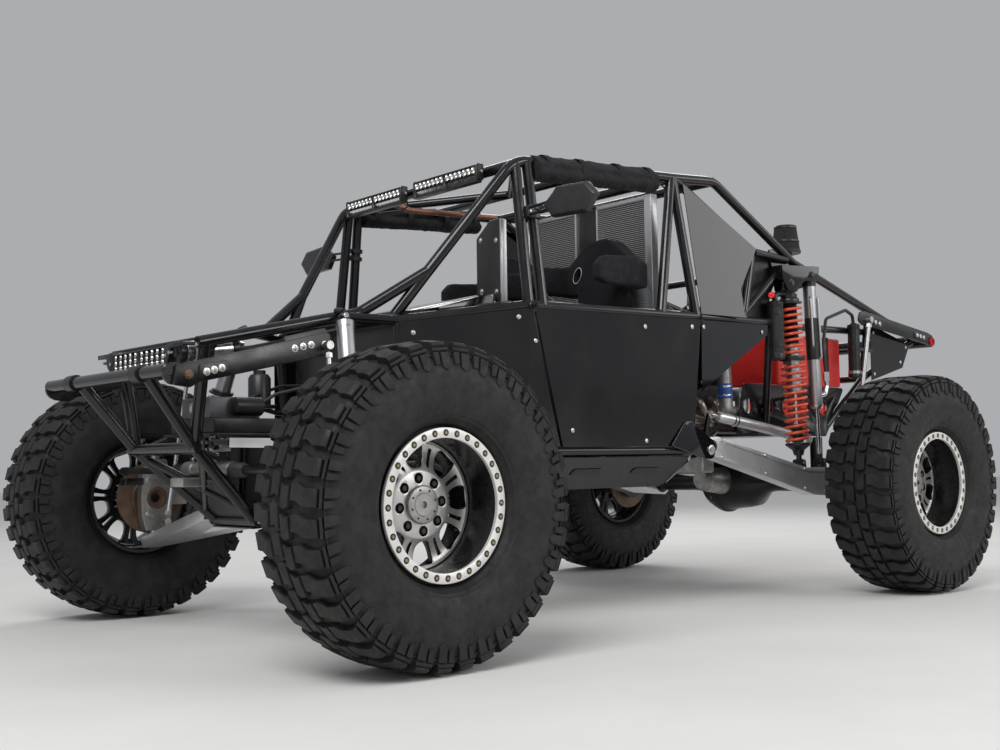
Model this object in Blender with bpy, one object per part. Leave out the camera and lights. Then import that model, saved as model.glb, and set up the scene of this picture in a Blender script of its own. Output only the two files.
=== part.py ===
"""Tube-framed off-road racing buggy: +Z up, the nose towards -Y, the driver's left side towards +X, metres."""

import math

import bmesh
import bpy
from mathutils import Matrix, Vector

# Overall places along the length, counted from the front axle
NOSE_END = -0.600
TAIL_END = 4.055
FRONT_AXLE_Y = -(NOSE_END + TAIL_END) / 2
WHEELBASE = 2.959

# Wheels
TYRE_R = 0.506
TYRE_HALF_W = 0.176
TREAD_HALF_W = 0.155
LUG_H = 0.014
LUGS = 36
RING_R = 0.236
RING_OUT = 0.135
RIM_R = 0.2245
TYRE_SEAT_R = 0.2300
DISH_R = 0.205
RIM_IN = -0.128
TRACK_F = 2.066
TRACK_R = 2.019
ROTOR_R = 0.150
ROTOR_OUT = -0.184
ROTOR_IN = -0.200
HUB_R = 0.062
HUB_STUB = 0.0107
HUB_STUB_R = 0.055
SEAT_GAP = 0.0003

# Tubes
R_MAIN = 0.0222
R_RAIL = 0.0190
R_THIN = 0.0150
R_SWAY = 0.0320
SIDES = 8
THIN_SIDES = 6
SHEET = 0.003
PLATE = 0.006

REAR_SWAY_R = 0.030
REAR_SWAY_Y = TAIL_END - REAR_SWAY_R

# Frame nodes as half width, distance behind the front axle and height
ROOF_F = (0.575, 0.836, 1.812)
ROOF_R = (0.575, 1.780, 1.877)
ROOF_BEND = (0.550, 2.098, 1.911)
TOWER = (0.545, 2.715, 1.590)
TAIL = (0.470, 3.960, 1.285)
PILLAR_KNEE = (0.442, 0.507, 1.361)
HOOD_BEND = (0.328, 0.264, 1.193)
HOOD_NOSE = (0.330, -0.390, 1.050)
SILL_F = (0.650, 0.832, 1.231)
SILL_R = (0.650, 1.829, 1.253)
COWL_F = (0.420, 0.380, 1.165)
NOSE_LOW = (0.229, -0.347, 0.698)
BELLY_NOSE = (0.139, -0.062, 0.434)
SWAY_F = (0.488, -0.568, 0.941)
SILL_LOW_F = (0.615, 0.985, 0.670)
SILL_LOW_R = (0.615, 1.800, 0.670)
QUARTER_R = (0.565, 2.480, 1.278)
CRADLE_F = (0.360, 2.300, 0.770)
CRADLE_R = (0.360, 3.200, 0.770)
TAIL_LOW = (0.450, 3.450, 1.050)
BELLY_F = (0.480, 1.130, 0.545)
BELLY_R = (0.480, 1.780, 0.545)

# Steering and front arms
KINGPIN_X = 0.800
RACK_Y = -0.170
RACK_Z = 0.620
RACK_R = 0.0130
RACK_HOUSE_R = 0.034
RACK_BORE_R = 0.0138
RACK_HOUSE_HALF = 0.175
UPPER_BALL = (0.800, 0.000, 0.698)
UPPER_FRONT = (0.288, -0.320, 0.716)
UPPER_REAR = (0.430, 0.375, 0.722)

# Eyes of the dampers, upper and lower
FRONT_COIL = ((0.385, 0.165, 1.170), (0.612, 0.060, 0.430))
REAR_COIL = ((0.580, 2.618, 1.470), (0.580, 2.664, 0.610))
BYPASS = ((0.590, 2.777, 1.522), (0.590, 2.820, 0.615))
EYE_UP = 0.020
EYE_DOWN = 0.012
UPPER_LINK = ((0.424, 2.190, 0.840), (0.475, 2.9035, 0.725))


def axle_frame(p):
    """A place counted from the front axle, in the object's frame."""
    return Vector((p[0], p[1] + FRONT_AXLE_Y, p[2]))


def mirrored(p):
    return (-p[0], p[1], p[2])


def paint(name, rgb, roughness, metallic=0.0):
    mat = bpy.data.materials.new(name)
    mat.use_nodes = True
    shader = mat.node_tree.nodes["Principled BSDF"]
    shader.inputs["Base Color"].default_value = (*rgb, 1.0)
    shader.inputs["Roughness"].default_value = roughness
    shader.inputs["Metallic"].default_value = metallic
    return mat


def tube(path, radius, sides=SIDES):
    """A round bar along a path of places, mitred at its bends."""
    pts = [axle_frame(p) for p in path]
    bm = bmesh.new()
    heading = (pts[1] - pts[0]).normalized()
    ref = Vector((0, 0, 1)) if abs(heading.z) < 0.9 else Vector((1, 0, 0))
    u = heading.cross(ref).normalized()
    v = heading.cross(u)
    ring = []
    for k in range(sides):
        a = 2 * math.pi * (k + 0.5) / sides
        ring.append(pts[0] + radius * (math.cos(a) * u + math.sin(a) * v))
    rings = [ring]
    for i in range(1, len(pts)):
        along = (pts[i] - pts[i - 1]).normalized()
        after = (pts[i + 1] - pts[i]).normalized() if i + 1 < len(pts) else along
        normal = (along + after).normalized()
        ring = [q + along * ((pts[i] - q).dot(normal) / along.dot(normal)) for q in ring]
        rings.append(ring)
    rows = [[bm.verts.new(q) for q in ring] for ring in rings]
    for a, b in zip(rows, rows[1:]):
        for k in range(sides):
            n = (k + 1) % sides
            bm.faces.new((a[k], a[n], b[n], b[k]))
    bm.faces.new(list(reversed(rows[0])))
    bm.faces.new(rows[-1])
    return bm


def rod(a, b, radius, sides=SIDES):
    return tube([a, b], radius, sides)


def slab(corners, shift):
    """A flat plate: one face through the corners, the other one shifted from it."""
    shift = Vector(shift)
    bm = bmesh.new()
    near = [bm.verts.new(axle_frame(p)) for p in corners]
    far = [bm.verts.new(axle_frame(p) + shift) for p in corners]
    bm.faces.new(near)
    bm.faces.new(list(reversed(far)))
    for k in range(len(corners)):
        n = (k + 1) % len(corners)
        bm.faces.new((near[n], near[k], far[k], far[n]))
    return bm


def block(low, high):
    """A box between two opposite corners."""
    x0, y0, z0 = low
    x1, y1, z1 = high
    return slab([(x0, y0, z0), (x1, y0, z0), (x1, y1, z0), (x0, y1, z0)], (0, 0, z1 - z0))


def turned(centre, axis, loop, sides, start=0.0):
    """A closed ring or solid of revolution; loop holds (along, radius), anticlockwise round the section."""
    axis = Vector(axis).normalized()
    ref = Vector((0, 0, 1)) if abs(axis.z) < 0.9 else Vector((0, 1, 0))
    u = ref - axis * ref.dot(axis)
    u.normalize()
    v = axis.cross(u)
    middle = axle_frame(centre)
    bm = bmesh.new()
    rows = []
    for along, radius in loop:
        if radius < 1e-6:
            rows.append([bm.verts.new(middle + axis * along)])
            continue
        row = []
        for k in range(sides):
            a = start + 2 * math.pi * k / sides
            row.append(bm.verts.new(middle + axis * along + radius * (math.cos(a) * u + math.sin(a) * v)))
        rows.append(row)
    for i in range(len(rows)):
        a, b = rows[i], rows[(i + 1) % len(rows)]
        if len(a) == 1 and len(b) == 1:
            continue
        for k in range(sides):
            n = (k + 1) % sides
            ring = [a[k % len(a)], a[n % len(a)], b[n % len(b)], b[k % len(b)]]
            corners = []
            for vert in ring:
                if vert not in corners:
                    corners.append(vert)
            bm.faces.new(corners)
    return bm


def mesh_object(name, bm, material=None, outward=True):
    if outward:
        bmesh.ops.recalc_face_normals(bm, faces=bm.faces)
    mesh = bpy.data.meshes.new(name)
    bm.to_mesh(mesh)
    bm.free()
    obj = bpy.data.objects.new(name, mesh)
    bpy.context.scene.collection.objects.link(obj)
    if material:
        mesh.materials.append(material)
    return obj


def finish(obj, origin=None, smooth=True):
    """Puts the origin at a place counted from the front axle and shades the round faces smooth."""
    if origin is not None:
        spot = axle_frame(origin)
        obj.data.transform(Matrix.Translation(-spot))
        obj.location = spot
    if smooth:
        for face in obj.data.polygons:
            face.use_smooth = True
        obj.data.set_sharp_from_angle(angle=math.radians(50))
    return obj


def fuse(name, pieces, material, origin=None, smooth=True, cuts=()):
    """One closed solid out of overlapping pieces, less the cuts."""
    base = mesh_object(name, pieces[0], material)
    for pair in (("UNION", pieces[1:]), ("DIFFERENCE", cuts)):
        operation, others = pair
        if not others:
            continue
        group = bpy.data.collections.new("joined")
        made = []
        for bm in others:
            helper = mesh_object("helper", bm)
            bpy.context.scene.collection.objects.unlink(helper)
            group.objects.link(helper)
            made.append(helper)
        mod = base.modifiers.new("join", "BOOLEAN")
        mod.operation = operation
        mod.solver = "EXACT"
        mod.operand_type = "COLLECTION"
        mod.collection = group
        bpy.context.view_layer.update()
        graph = bpy.context.evaluated_depsgraph_get()
        mesh = bpy.data.meshes.new_from_object(base.evaluated_get(graph))
        base.modifiers.clear()
        base.data = mesh
        for helper in made:
            bpy.data.objects.remove(helper)
        bpy.data.collections.remove(group)
    base.data.materials.clear()
    base.data.materials.append(material)
    return finish(base, origin, smooth)


def both(path):
    """A path and its mirror image on the other side."""
    return [path, [mirrored(p) for p in path]]


def tubes(table):
    """Each row: radius, path, and whether its mirror image is there as well."""
    made = []
    for radius, path, paired in table:
        for way in both(path) if paired else [path]:
            made.append(tube(way, radius, SIDES if radius == R_MAIN else THIN_SIDES))
    return made


def between(a, b, t):
    return tuple(a[i] + (b[i] - a[i]) * t for i in range(3))


def onward(a, b, metres):
    """The place this far from a, on the way to b."""
    return between(a, b, metres / (Vector(b) - Vector(a)).length)


def boss(start, end, first, last, radius, sides=10):
    """A round boss on the line from start to end, between two distances from start."""
    return rod(onward(start, end, first), onward(start, end, last), radius, sides)


for old in list(bpy.data.objects):
    bpy.data.objects.remove(old)

BLACK = (0.012, 0.012, 0.013)
ALU = (0.62, 0.62, 0.63)

paints = {
    "frame_cab": paint("frame_cab_paint", BLACK, 0.25),
    "frame_nose": paint("frame_nose_paint", BLACK, 0.25),
    "frame_rear": paint("frame_rear_paint", BLACK, 0.25),
}

# Frame of the cab
HOOD_JOINT = (0.329, -0.220, 1.0872)
HOOD_SPLIT = (0.329, -0.2203, 1.0871)
RAIL_JOINT = (0.360, 0.750, 0.495)
RAIL_SPLIT = (0.3599, 0.7497, 0.49498)
CRADLE_JOINT = (0.440, 2.000, 0.640)
CRADLE_SPLIT = (0.4399, 2.0003, 0.6401)
DOWN_BAR = (0.585, 2.330, 1.605)

cab_tubes = [
    (R_MAIN, [TOWER, ROOF_BEND, ROOF_R, ROOF_F, PILLAR_KNEE, (0.372, 0.398, 1.190)], True),
    (R_MAIN, [ROOF_F, SILL_F, SILL_LOW_F], True),
    (R_MAIN, [(0.578, 0.900, 1.816), (0.650, 0.905, 1.233)], True),
    (R_MAIN, [ROOF_R, SILL_R, SILL_LOW_R], True),
    (R_MAIN, [(0.578, 1.765, 1.870), (0.648, 1.600, 1.248)], True),
    (R_MAIN, [COWL_F, SILL_F, SILL_R, QUARTER_R], True),
    (R_MAIN, [SILL_LOW_F, SILL_LOW_R], True),
    (R_MAIN, [HOOD_JOINT, HOOD_BEND, PILLAR_KNEE], True),
    (R_MAIN, [ROOF_F, mirrored(ROOF_F)], False),
    (R_MAIN, [ROOF_R, mirrored(ROOF_R)], False),
    (R_MAIN, [ROOF_BEND, mirrored(ROOF_BEND)], False),
    (R_RAIL, [ROOF_F, (0.0, 1.340, 1.847), mirrored(ROOF_F)], False),
    (R_RAIL, [(0.575, 1.340, 1.847), (-0.575, 1.340, 1.847)], False),
    (R_RAIL, [(0.372, 0.398, 1.190), (-0.372, 0.398, 1.190)], False),
    (R_RAIL, [COWL_F, (0.329, 0.180, 1.175)], True),
    (R_RAIL, [COWL_F, (0.372, 0.398, 1.190)], True),
    (R_RAIL, [COWL_F, (0.400, 0.400, 0.690), SILL_LOW_F], True),
    (R_RAIL, [SILL_R, mirrored(SILL_R)], False),
    (R_RAIL, [SILL_LOW_F, BELLY_F, BELLY_R, SILL_LOW_R], True),
    (R_RAIL, [BELLY_F, mirrored(BELLY_F)], False),
    (R_RAIL, [BELLY_R, mirrored(BELLY_R)], False),
    (R_RAIL, [BELLY_F, RAIL_JOINT], True),
    (R_RAIL, [(0.398, 0.872, 0.511), (0.400, 0.400, 0.690)], True),
    (R_RAIL, [SILL_LOW_R, CRADLE_JOINT], True),
    (R_RAIL, [BELLY_R, CRADLE_JOINT], True),
    (R_RAIL, [ROOF_R, DOWN_BAR, between(SILL_R, QUARTER_R, 0.62)], True),
    (R_THIN, [(0.602, 2.206, 1.274), (0.571, 2.553, 1.5375)], True),
]
link_plates = []
POCKET = [
    (1.668, 0.668), (1.748, 0.797), (1.815, 0.798), (1.912, 0.738), (1.944, 0.718),
    (1.957, 0.688), (1.946, 0.656), (1.915, 0.640), (1.775, 0.640), (1.770, 0.652), (1.660, 0.654),
]
for side in (1, -1):
    link_plates.append(slab([(side * 0.628, y, z) for y, z in POCKET], (side * 0.006, 0, 0)))
for way in both([UPPER_REAR, UPPER_BALL]):
    link_plates.append(boss(way[0], way[1], -0.035, -SEAT_GAP, 0.016))
for way in both(list(FRONT_COIL)):
    cup = -EYE_UP - SEAT_GAP
    link_plates.append(boss(way[0], way[1], cup - 0.024, cup, 0.022))
    hook = onward(way[0], way[1], cup - 0.0125)
    link_plates.append(rod(hook, (math.copysign(0.330, hook[0]), 0.165, 1.196), 0.011))
fuse("frame_cab", tubes(cab_tubes) + link_plates, paints["frame_cab"])

# Frame of the nose
nose_tubes = [
    (R_MAIN, [HOOD_SPLIT, HOOD_NOSE], True),
    (R_MAIN, [NOSE_LOW, (0.329, -0.360, 1.056)], True),
    (R_MAIN, [NOSE_LOW, (0.270, -0.568, 0.941)], True),
    (R_MAIN, [(0.262, -0.347, 0.698), (-0.262, -0.347, 0.698)], False),
    (R_MAIN, [NOSE_LOW, BELLY_NOSE], True),
    (R_MAIN, [(0.165, -0.062, 0.434), (-0.165, -0.062, 0.434)], False),
    (R_THIN, [between(NOSE_LOW, BELLY_NOSE, 0.12), between(mirrored(NOSE_LOW), mirrored(BELLY_NOSE), 0.85)], True),
    (R_RAIL, [BELLY_NOSE, (0.300, 0.520, 0.472), RAIL_SPLIT], True),
    (R_RAIL, [(0.300, 0.520, 0.472), (-0.300, 0.520, 0.472)], False),
]
house_loop = [
    (-RACK_HOUSE_HALF, RACK_BORE_R), (RACK_HOUSE_HALF, RACK_BORE_R),
    (RACK_HOUSE_HALF, RACK_HOUSE_R), (-RACK_HOUSE_HALF, RACK_HOUSE_R),
]
rack_house = turned((0, RACK_Y, RACK_Z), (1, 0, 0), house_loop, 12)
rack_foot = block((-0.050, -0.300, 0.560), (0.050, -0.160, 0.595))
sway_clear = rod((0.600, SWAY_F[1], SWAY_F[2]), (-0.600, SWAY_F[1], SWAY_F[2]), R_SWAY + SEAT_GAP, 12)
nose_bits = [rack_house, rack_foot]
for way in both([UPPER_FRONT, UPPER_BALL]):
    nose_bits.append(boss(way[0], way[1], -0.045, -SEAT_GAP, 0.018))
for side in (1, -1):
    low, high = sorted((side * 0.145, side * (0.200 - SEAT_GAP)))
    nose_bits.append(block((low, -0.080, 0.438), (high, -0.012, 0.470)))
    low, high = sorted((side * 0.240, side * (0.300 - SEAT_GAP)))
    nose_bits.append(block((low, 0.302, 0.4440), (high, 0.368, 0.4700)))
nose_clear = [sway_clear]
for path in both([BELLY_F, between(BELLY_F, RAIL_JOINT, 1.001)]):
    nose_clear.append(tube(path, R_RAIL + SEAT_GAP, THIN_SIDES))
fuse("frame_nose", tubes(nose_tubes) + nose_bits, paints["frame_nose"], cuts=nose_clear)

# Frame of the tail
rear_tubes = [
    (R_MAIN, [TOWER, TAIL], True),
    (R_MAIN, [TAIL, mirrored(TAIL)], False),
    (R_RAIL, [(0.530, 2.760, 1.580), (-0.530, 2.760, 1.580)], False),
    (R_RAIL, [QUARTER_R, (0.440, 2.640, 1.290), (0.460, 3.450, 1.300)], True),
    (R_RAIL, [QUARTER_R, (0.360, 2.700, 0.770)], True),
    (R_RAIL, [(0.501, 3.450, 1.409), TAIL_LOW], True),
    (R_RAIL, [TAIL_LOW, TAIL], True),
    (R_RAIL, [TAIL_LOW, mirrored(TAIL_LOW)], False),
    (R_RAIL, [CRADLE_SPLIT, CRADLE_F, CRADLE_R, TAIL_LOW], True),
    (R_RAIL, [CRADLE_R, mirrored(CRADLE_R)], False),
    (R_RAIL, [(0.5833, 2.3530, 1.6034), (0.549, 2.690, 1.598)], True),
]
TOWER_IN = [(2.600, 1.650), (2.880, 1.560), (2.865, 1.452), (2.580, 1.435)]
TOWER_OUT = [
    (2.512, 1.552), (2.822, 1.572), (2.806, 1.500), (2.690, 1.492), (2.640, 1.446), (2.560, 1.432), (2.518, 1.486),
]
TOWER_TOP = [(0.524, 2.512, 1.549), (0.624, 2.512, 1.549), (0.624, 2.822, 1.569), (0.524, 2.822, 1.569)]
GUARD = [(2.375, 1.290), (2.375, 1.600), (2.640, 1.590), (2.530, 1.420), (2.510, 1.290)]
towers = []
for side in (1, -1):
    towers.append(slab([(side * 0.524, y, z) for y, z in TOWER_IN], (side * 0.008, 0, 0)))
    towers.append(slab([(side * 0.618, y, z) for y, z in TOWER_OUT], (side * 0.006, 0, 0)))
    towers.append(slab([(side * x, y, z) for x, y, z in TOWER_TOP], (0, 0, 0.005)))
    towers.append(slab([(side * 0.546, y, z) for y, z in GUARD], (side * 0.005, 0, 0)))
    towers.append(rod((side * 0.585, 2.502, 1.100), (side * 0.585, 2.500, 1.375), 0.036))
    towers.append(rod((side * 0.500, 3.300, 1.030), (side * 0.500, 3.305, 1.330), 0.030))
    towers.append(rod((side * 0.500, 3.470, 1.200), (side * 0.500, 3.300, 1.200), 0.012))
    low, high = sorted((side * 0.400, side * 0.440))
    sway_near = REAR_SWAY_Y - REAR_SWAY_R * math.cos(math.pi / 12) - SEAT_GAP
    towers.append(block((low, 3.950, 1.262), (high, sway_near, 1.285)))
for eyes in (REAR_COIL, BYPASS):
    for way in both(list(eyes)):
        cup = -EYE_UP - SEAT_GAP
        towers.append(boss(way[0], way[1], cup - 0.024, cup, 0.024))
        hook = onward(way[0], way[1], cup - 0.0125)
        towers.append(rod(hook, (math.copysign(0.528, hook[0]), hook[1], hook[2]), 0.011))
for way in both(list(UPPER_LINK)):
    towers.append(boss(way[0], way[1], -0.026, -SEAT_GAP, 0.020))
    hook = onward(way[0], way[1], -0.0138)
    towers.append(rod(hook, (math.copysign(0.3947, hook[0]), 2.170, 0.715), 0.012))
rear_clear = []
for path in both([ROOF_BEND, between(ROOF_BEND, TOWER, 1.0005)]):
    rear_clear.append(tube(path, R_MAIN + SEAT_GAP))
for path in both([COWL_F, SILL_F, SILL_R, between(SILL_R, QUARTER_R, 1.0005)]):
    rear_clear.append(tube(path, R_MAIN + SEAT_GAP))
for start, end in ((SILL_LOW_R, CRADLE_JOINT), (BELLY_R, CRADLE_JOINT)):
    for path in both([between(start, end, 0.2), between(start, end, 1.0008)]):
        rear_clear.append(tube(path, R_RAIL + SEAT_GAP, THIN_SIDES))
fuse("frame_rear", tubes(rear_tubes) + towers, paints["frame_rear"], cuts=rear_clear)

# Panels
panel_paint = (0.015, 0.015, 0.016)
OUT = R_MAIN * math.cos(math.pi / SIDES) + SEAT_GAP


def panel(name, corners, closer, rgb=panel_paint):
    """A flat sheet just outside the bars whose middles its corners name, and its mirror image."""
    spots = [Vector(p) for p in corners]
    middle = sum(spots, Vector()) / len(spots)
    normal = Vector()
    for a, b in zip(spots, spots[1:] + spots[:1]):
        normal += (a - middle).cross(b - middle)
    normal.normalize()
    if normal.x < 0:
        normal = -normal
    flat = [p - normal * (p - middle).dot(normal) + normal * (OUT - closer) for p in spots]
    for side, word in ((1, "left"), (-1, "right")):
        outline = [(side * p.x, p.y, p.z) for p in flat]
        shift = (side * normal.x * SHEET, normal.y * SHEET, normal.z * SHEET)
        gloss = paint(f"{name}_{word}_paint", rgb, 0.12)
        sheet = mesh_object(f"{name}_{word}", slab(outline, shift), gloss)
        finish(sheet, smooth=False)


DOOR = [
    (SILL_F[0], SILL_F[1] + 0.013, SILL_F[2] - 0.009), (SILL_R[0], SILL_R[1] - 0.007, SILL_R[2] - 0.011),
    (0.634, SILL_R[1] - 0.014, 0.925), (0.626, SILL_R[1] - 0.034, 0.800),
    (0.618, SILL_R[1] - 0.153, 0.690), (0.618, SILL_LOW_F[1] + 0.025, 0.690),
]
panel("door_panel", DOOR, 0.0008)
QUARTER = [
    (SILL_R[0], SILL_R[1] + 0.016, SILL_R[2] - 0.013),
    (QUARTER_R[0] + 0.007, QUARTER_R[1] - 0.058, QUARTER_R[2] - 0.016),
    (QUARTER_R[0] + 0.011, QUARTER_R[1] - 0.058, QUARTER_R[2] - 0.063),
    (SILL_R[0] - 0.018, SILL_R[1] + 0.021, 0.930),
]
panel("quarter_panel", QUARTER, 0.0044)
UPPER = [
    (ROOF_R[0] + 0.003, ROOF_R[1] + 0.035, ROOF_R[2] - 0.029),
    (DOWN_BAR[0] + 0.007, DOWN_BAR[1] + 0.005, DOWN_BAR[2] + 0.007),
    (0.612, 2.170, 1.405), (0.622, 2.180, 1.272), (SILL_R[0], SILL_R[1] + 0.019, SILL_R[2] + 0.013),
]
panel("upper_panel", UPPER, 0.0009)
for side, word in ((1, "left"), (-1, "right")):
    corners = [(3.485, 1.345), (3.880, 1.250), (3.800, 1.120), (3.485, 1.040)]
    outline = [(side * 0.4837, y, z) for y, z in corners]
    gloss = paint(f"tail_panel_{word}_paint", panel_paint, 0.12)
    tail_sheet = mesh_object(f"tail_panel_{word}", slab(outline, (side * SHEET, 0, 0)), gloss)
    finish(tail_sheet, smooth=False)


def folded(name, corners, faces, thickness, material):
    """A bent sheet: flat faces over shared corners, thickened outwards."""
    bm = bmesh.new()
    verts = [bm.verts.new(axle_frame(p)) for p in corners]
    for face in faces:
        bm.faces.new([verts[i] for i in face])
    obj = mesh_object(name, bm, material, outward=False)
    solid = obj.modifiers.new("thickness", "SOLIDIFY")
    solid.thickness = thickness
    solid.offset = 1.0
    solid.use_even_offset = True
    return obj


for side, word in ((1, "left"), (-1, "right")):
    corners = [
        (side * 0.6751, 0.824, 1.220), (side * 0.4451, 0.368, 1.158), (side * 0.4126, 0.3518, 0.745),
        (side * 0.6361, 0.815, 0.700), (side * 0.6411, 0.996, 0.690),
    ]
    cowl_faces = [(0, 1, 2, 3), (0, 3, 4)] if side < 0 else [(3, 2, 1, 0), (4, 3, 0)]
    gloss = paint(f"cowl_panel_{word}_paint", panel_paint, 0.12)
    folded(f"cowl_panel_{word}", corners, cowl_faces, SHEET, gloss)

BELLY_ROWS = [
    # distance behind the axle, half width, height
    (-0.075, 0.150, 0.4115),
    (0.520, 0.310, 0.4525),
    (0.750, 0.372, 0.4752),
    (1.110, 0.486, 0.5225),
    (1.740, 0.490, 0.5225),
]
skid_rows = []
for y, half, z in BELLY_ROWS:
    skid_rows += [(half, y, z), (-half, y, z)]
skid_rows += [(0.634, 1.000, 0.6480), (-0.634, 1.000, 0.6480), (0.634, 1.760, 0.6480), (-0.634, 1.760, 0.6480)]
skid_faces = [(0, 1, 3, 2), (2, 3, 5, 4), (4, 5, 7, 6), (6, 7, 9, 8), (6, 8, 12, 10), (7, 11, 13, 9)]
folded("belly_skid", skid_rows, skid_faces, 0.005, paint("belly_skid_paint", BLACK, 0.3))

# Dash and firewall
dash_plan = [(0.350, 0.450, 1.175), (-0.350, 0.450, 1.175), (-0.560, 0.835, 1.222), (0.560, 0.835, 1.222)]
dash_top = slab(dash_plan, (0, 0, 0.040))
board_outline = [(0.358, 1.205), (0.358, 1.529), (0.440, 1.591), (0.508, 1.591), (0.508, 1.205)]
board = slab([(x, 0.8215, z) for x, z in board_outline], (0, 0.010, 0))
board_edge = block((0.500, 0.8215, 1.205), (0.508, 0.872, 1.588))
wall = block((-0.365, 0.425, 0.560), (0.365, 0.429, 1.160))
wall_top = block((-0.340, 0.425, 1.155), (0.340, 0.470, 1.180))
wall_near = 0.398 + R_RAIL * math.cos(math.pi / THIN_SIDES) + SEAT_GAP
wall_seat = block((-0.300, wall_near, 1.168), (0.300, 0.428, 1.200))
column = rod((0.300, 0.780, 1.225), (0.300, 1.000, 1.140), 0.016)
dash_bits = [dash_top, board, board_edge, wall, wall_top, wall_seat, column]
fuse("dash", dash_bits, paint("dash_plastic", (0.02, 0.02, 0.021), 0.55))
floor_pan = block((-0.440, 1.020, 0.5643), (0.440, 1.750, 0.5683))
finish(mesh_object("floor_pan", floor_pan, paint("floor_pan_paint", BLACK, 0.4)), smooth=False)

# Lights
nose_bar = [block((-0.217, -0.450, 0.975), (0.217, -0.400, 1.048))]
for side in (1, -1):
    low, high = sorted((side * 0.210, side * 0.340))
    nose_bar.append(block((low, -0.450, 1.035), (high, -0.444, 1.050)))
    low, high = sorted((side * 0.322, side * 0.338))
    nose_bar.append(block((low, -0.450, 1.035), (high, -0.3904, 1.050)))
fuse("nose_light_bar", nose_bar, paint("nose_light_bar_housing", (0.03, 0.03, 0.03), 0.35))
lamp_back = ROOF_F[1] - R_MAIN * math.cos(math.pi / SIDES) - SEAT_GAP
roof_bars = [
    block((-0.490, 0.765, 1.758), (-0.075, lamp_back, 1.820)),
    block((0.010, 0.765, 1.758), (0.425, lamp_back, 1.820)),
    block((-0.490, 0.780, 1.746), (0.425, 0.795, 1.764)),
]
fuse("roof_light_bars", roof_bars, paint("roof_light_bars_housing", (0.03, 0.03, 0.03), 0.35))

# Reservoirs, sway bars, arms and dampers
for side, word in ((1, "left"), (-1, "right")):
    can = turned((side * 0.262, -0.440, 1.022), (0, 1, 0.10), [(0, 0), (0, 0.036), (0.240, 0.036), (0.240, 0)], 12)
    low, high = sorted((side * 0.285, side * 0.3124))
    clamp = block((low, -0.330, 1.020), (high, -0.300, 1.050))
    fuse(f"nose_reservoir_{word}", [can, clamp], paint(f"nose_reservoir_{word}_alloy", ALU, 0.3, 1.0))

sway_front = [rod((0.490, SWAY_F[1], SWAY_F[2]), (-0.490, SWAY_F[1], SWAY_F[2]), R_SWAY, 12)]
for side in (1, -1):
    outline = [
        (-0.562, 0.900), (-0.500, 0.888), (0.020, 1.013), (0.034, 1.026),
        (0.030, 1.084), (0.018, 1.093), (-0.552, 0.956), (-0.564, 0.944),
    ]
    sway_front.append(slab([(side * 0.484, y, z) for y, z in outline], (side * 0.012, 0, 0)))
    sway_front.append(rod((side * 0.490, 0.009, 1.041), (side * 0.520, 0.009, 1.041), 0.014))
    sway_front.append(rod((side * 0.514, 0.009, 1.046), (side * 0.640, -0.025, 0.400), 0.010))
fuse("sway_bar_front", sway_front, paint("sway_bar_front_paint", BLACK, 0.3))

sway_rear = [rod((0.535, REAR_SWAY_Y, 1.270), (-0.535, REAR_SWAY_Y, 1.270), REAR_SWAY_R, 12)]
for side in (1, -1):
    outline = [
        (3.292, 1.352), (3.330, 1.324), (3.400, 1.322), (3.960, 1.258),
        (4.040, 1.244), (4.050, 1.300), (3.985, 1.322), (3.360, 1.396), (3.310, 1.390),
    ]
    sway_rear.append(slab([(side * 0.530, y, z) for y, z in outline], (side * 0.010, 0, 0)))
    sway_rear.append(rod((side * 0.535, 3.370, 1.353), (side * 0.566, 3.370, 1.353), 0.014))
    sway_rear.append(rod((side * 0.556, 3.370, 1.358), (side * 0.5206, 3.2205, 0.5628), 0.010))
fuse("sway_bar_rear", sway_rear, paint("sway_bar_rear_paint", BLACK, 0.3))


def lower_top(x):
    """Height of the lower arm's top face at a half width."""
    return 0.343 + (0.835 - x) * 0.215


for side, word in ((1, "left"), (-1, "right")):
    plan = [
        (0.835, -0.040), (0.835, 0.040), (0.300, 0.380), (0.300, 0.290),
        (0.520, 0.080), (0.200, 0.000), (0.200, -0.090),
    ]
    lower = slab([(side * x, y, lower_top(x)) for x, y in plan], (0, 0, -0.050))
    way = both(list(FRONT_COIL))[0 if side > 0 else 1]
    reach = (Vector(way[1]) - Vector(way[0])).length + EYE_DOWN + SEAT_GAP
    lower_bits = [
        lower,
        boss(way[0], way[1], reach, reach + 0.050, 0.026),
        turned((side * KINGPIN_X, 0, 0.320), (0, 0, 1), [(0, 0), (0, 0.030), (0.0378, 0.030), (0.0378, 0)], 12),
    ]
    fuse(f"lower_arm_{word}", lower_bits, paint(f"lower_arm_{word}_alloy", ALU, 0.35, 1.0), smooth=False)
    upper_way = both([UPPER_FRONT, UPPER_REAR, UPPER_BALL])[0 if side > 0 else 1]
    upper = [
        tube([upper_way[0], upper_way[2]], 0.024, 4),
        tube([upper_way[1], upper_way[2]], 0.022, 4),
        turned((side * KINGPIN_X, 0, 0.684), (0, 0, 1), [(0, 0), (0, 0.040), (0.032, 0.040), (0.032, 0)], 12),
    ]
    fuse(f"upper_arm_{word}", upper, paint(f"upper_arm_{word}_alloy", ALU, 0.3, 1.0))


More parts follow.
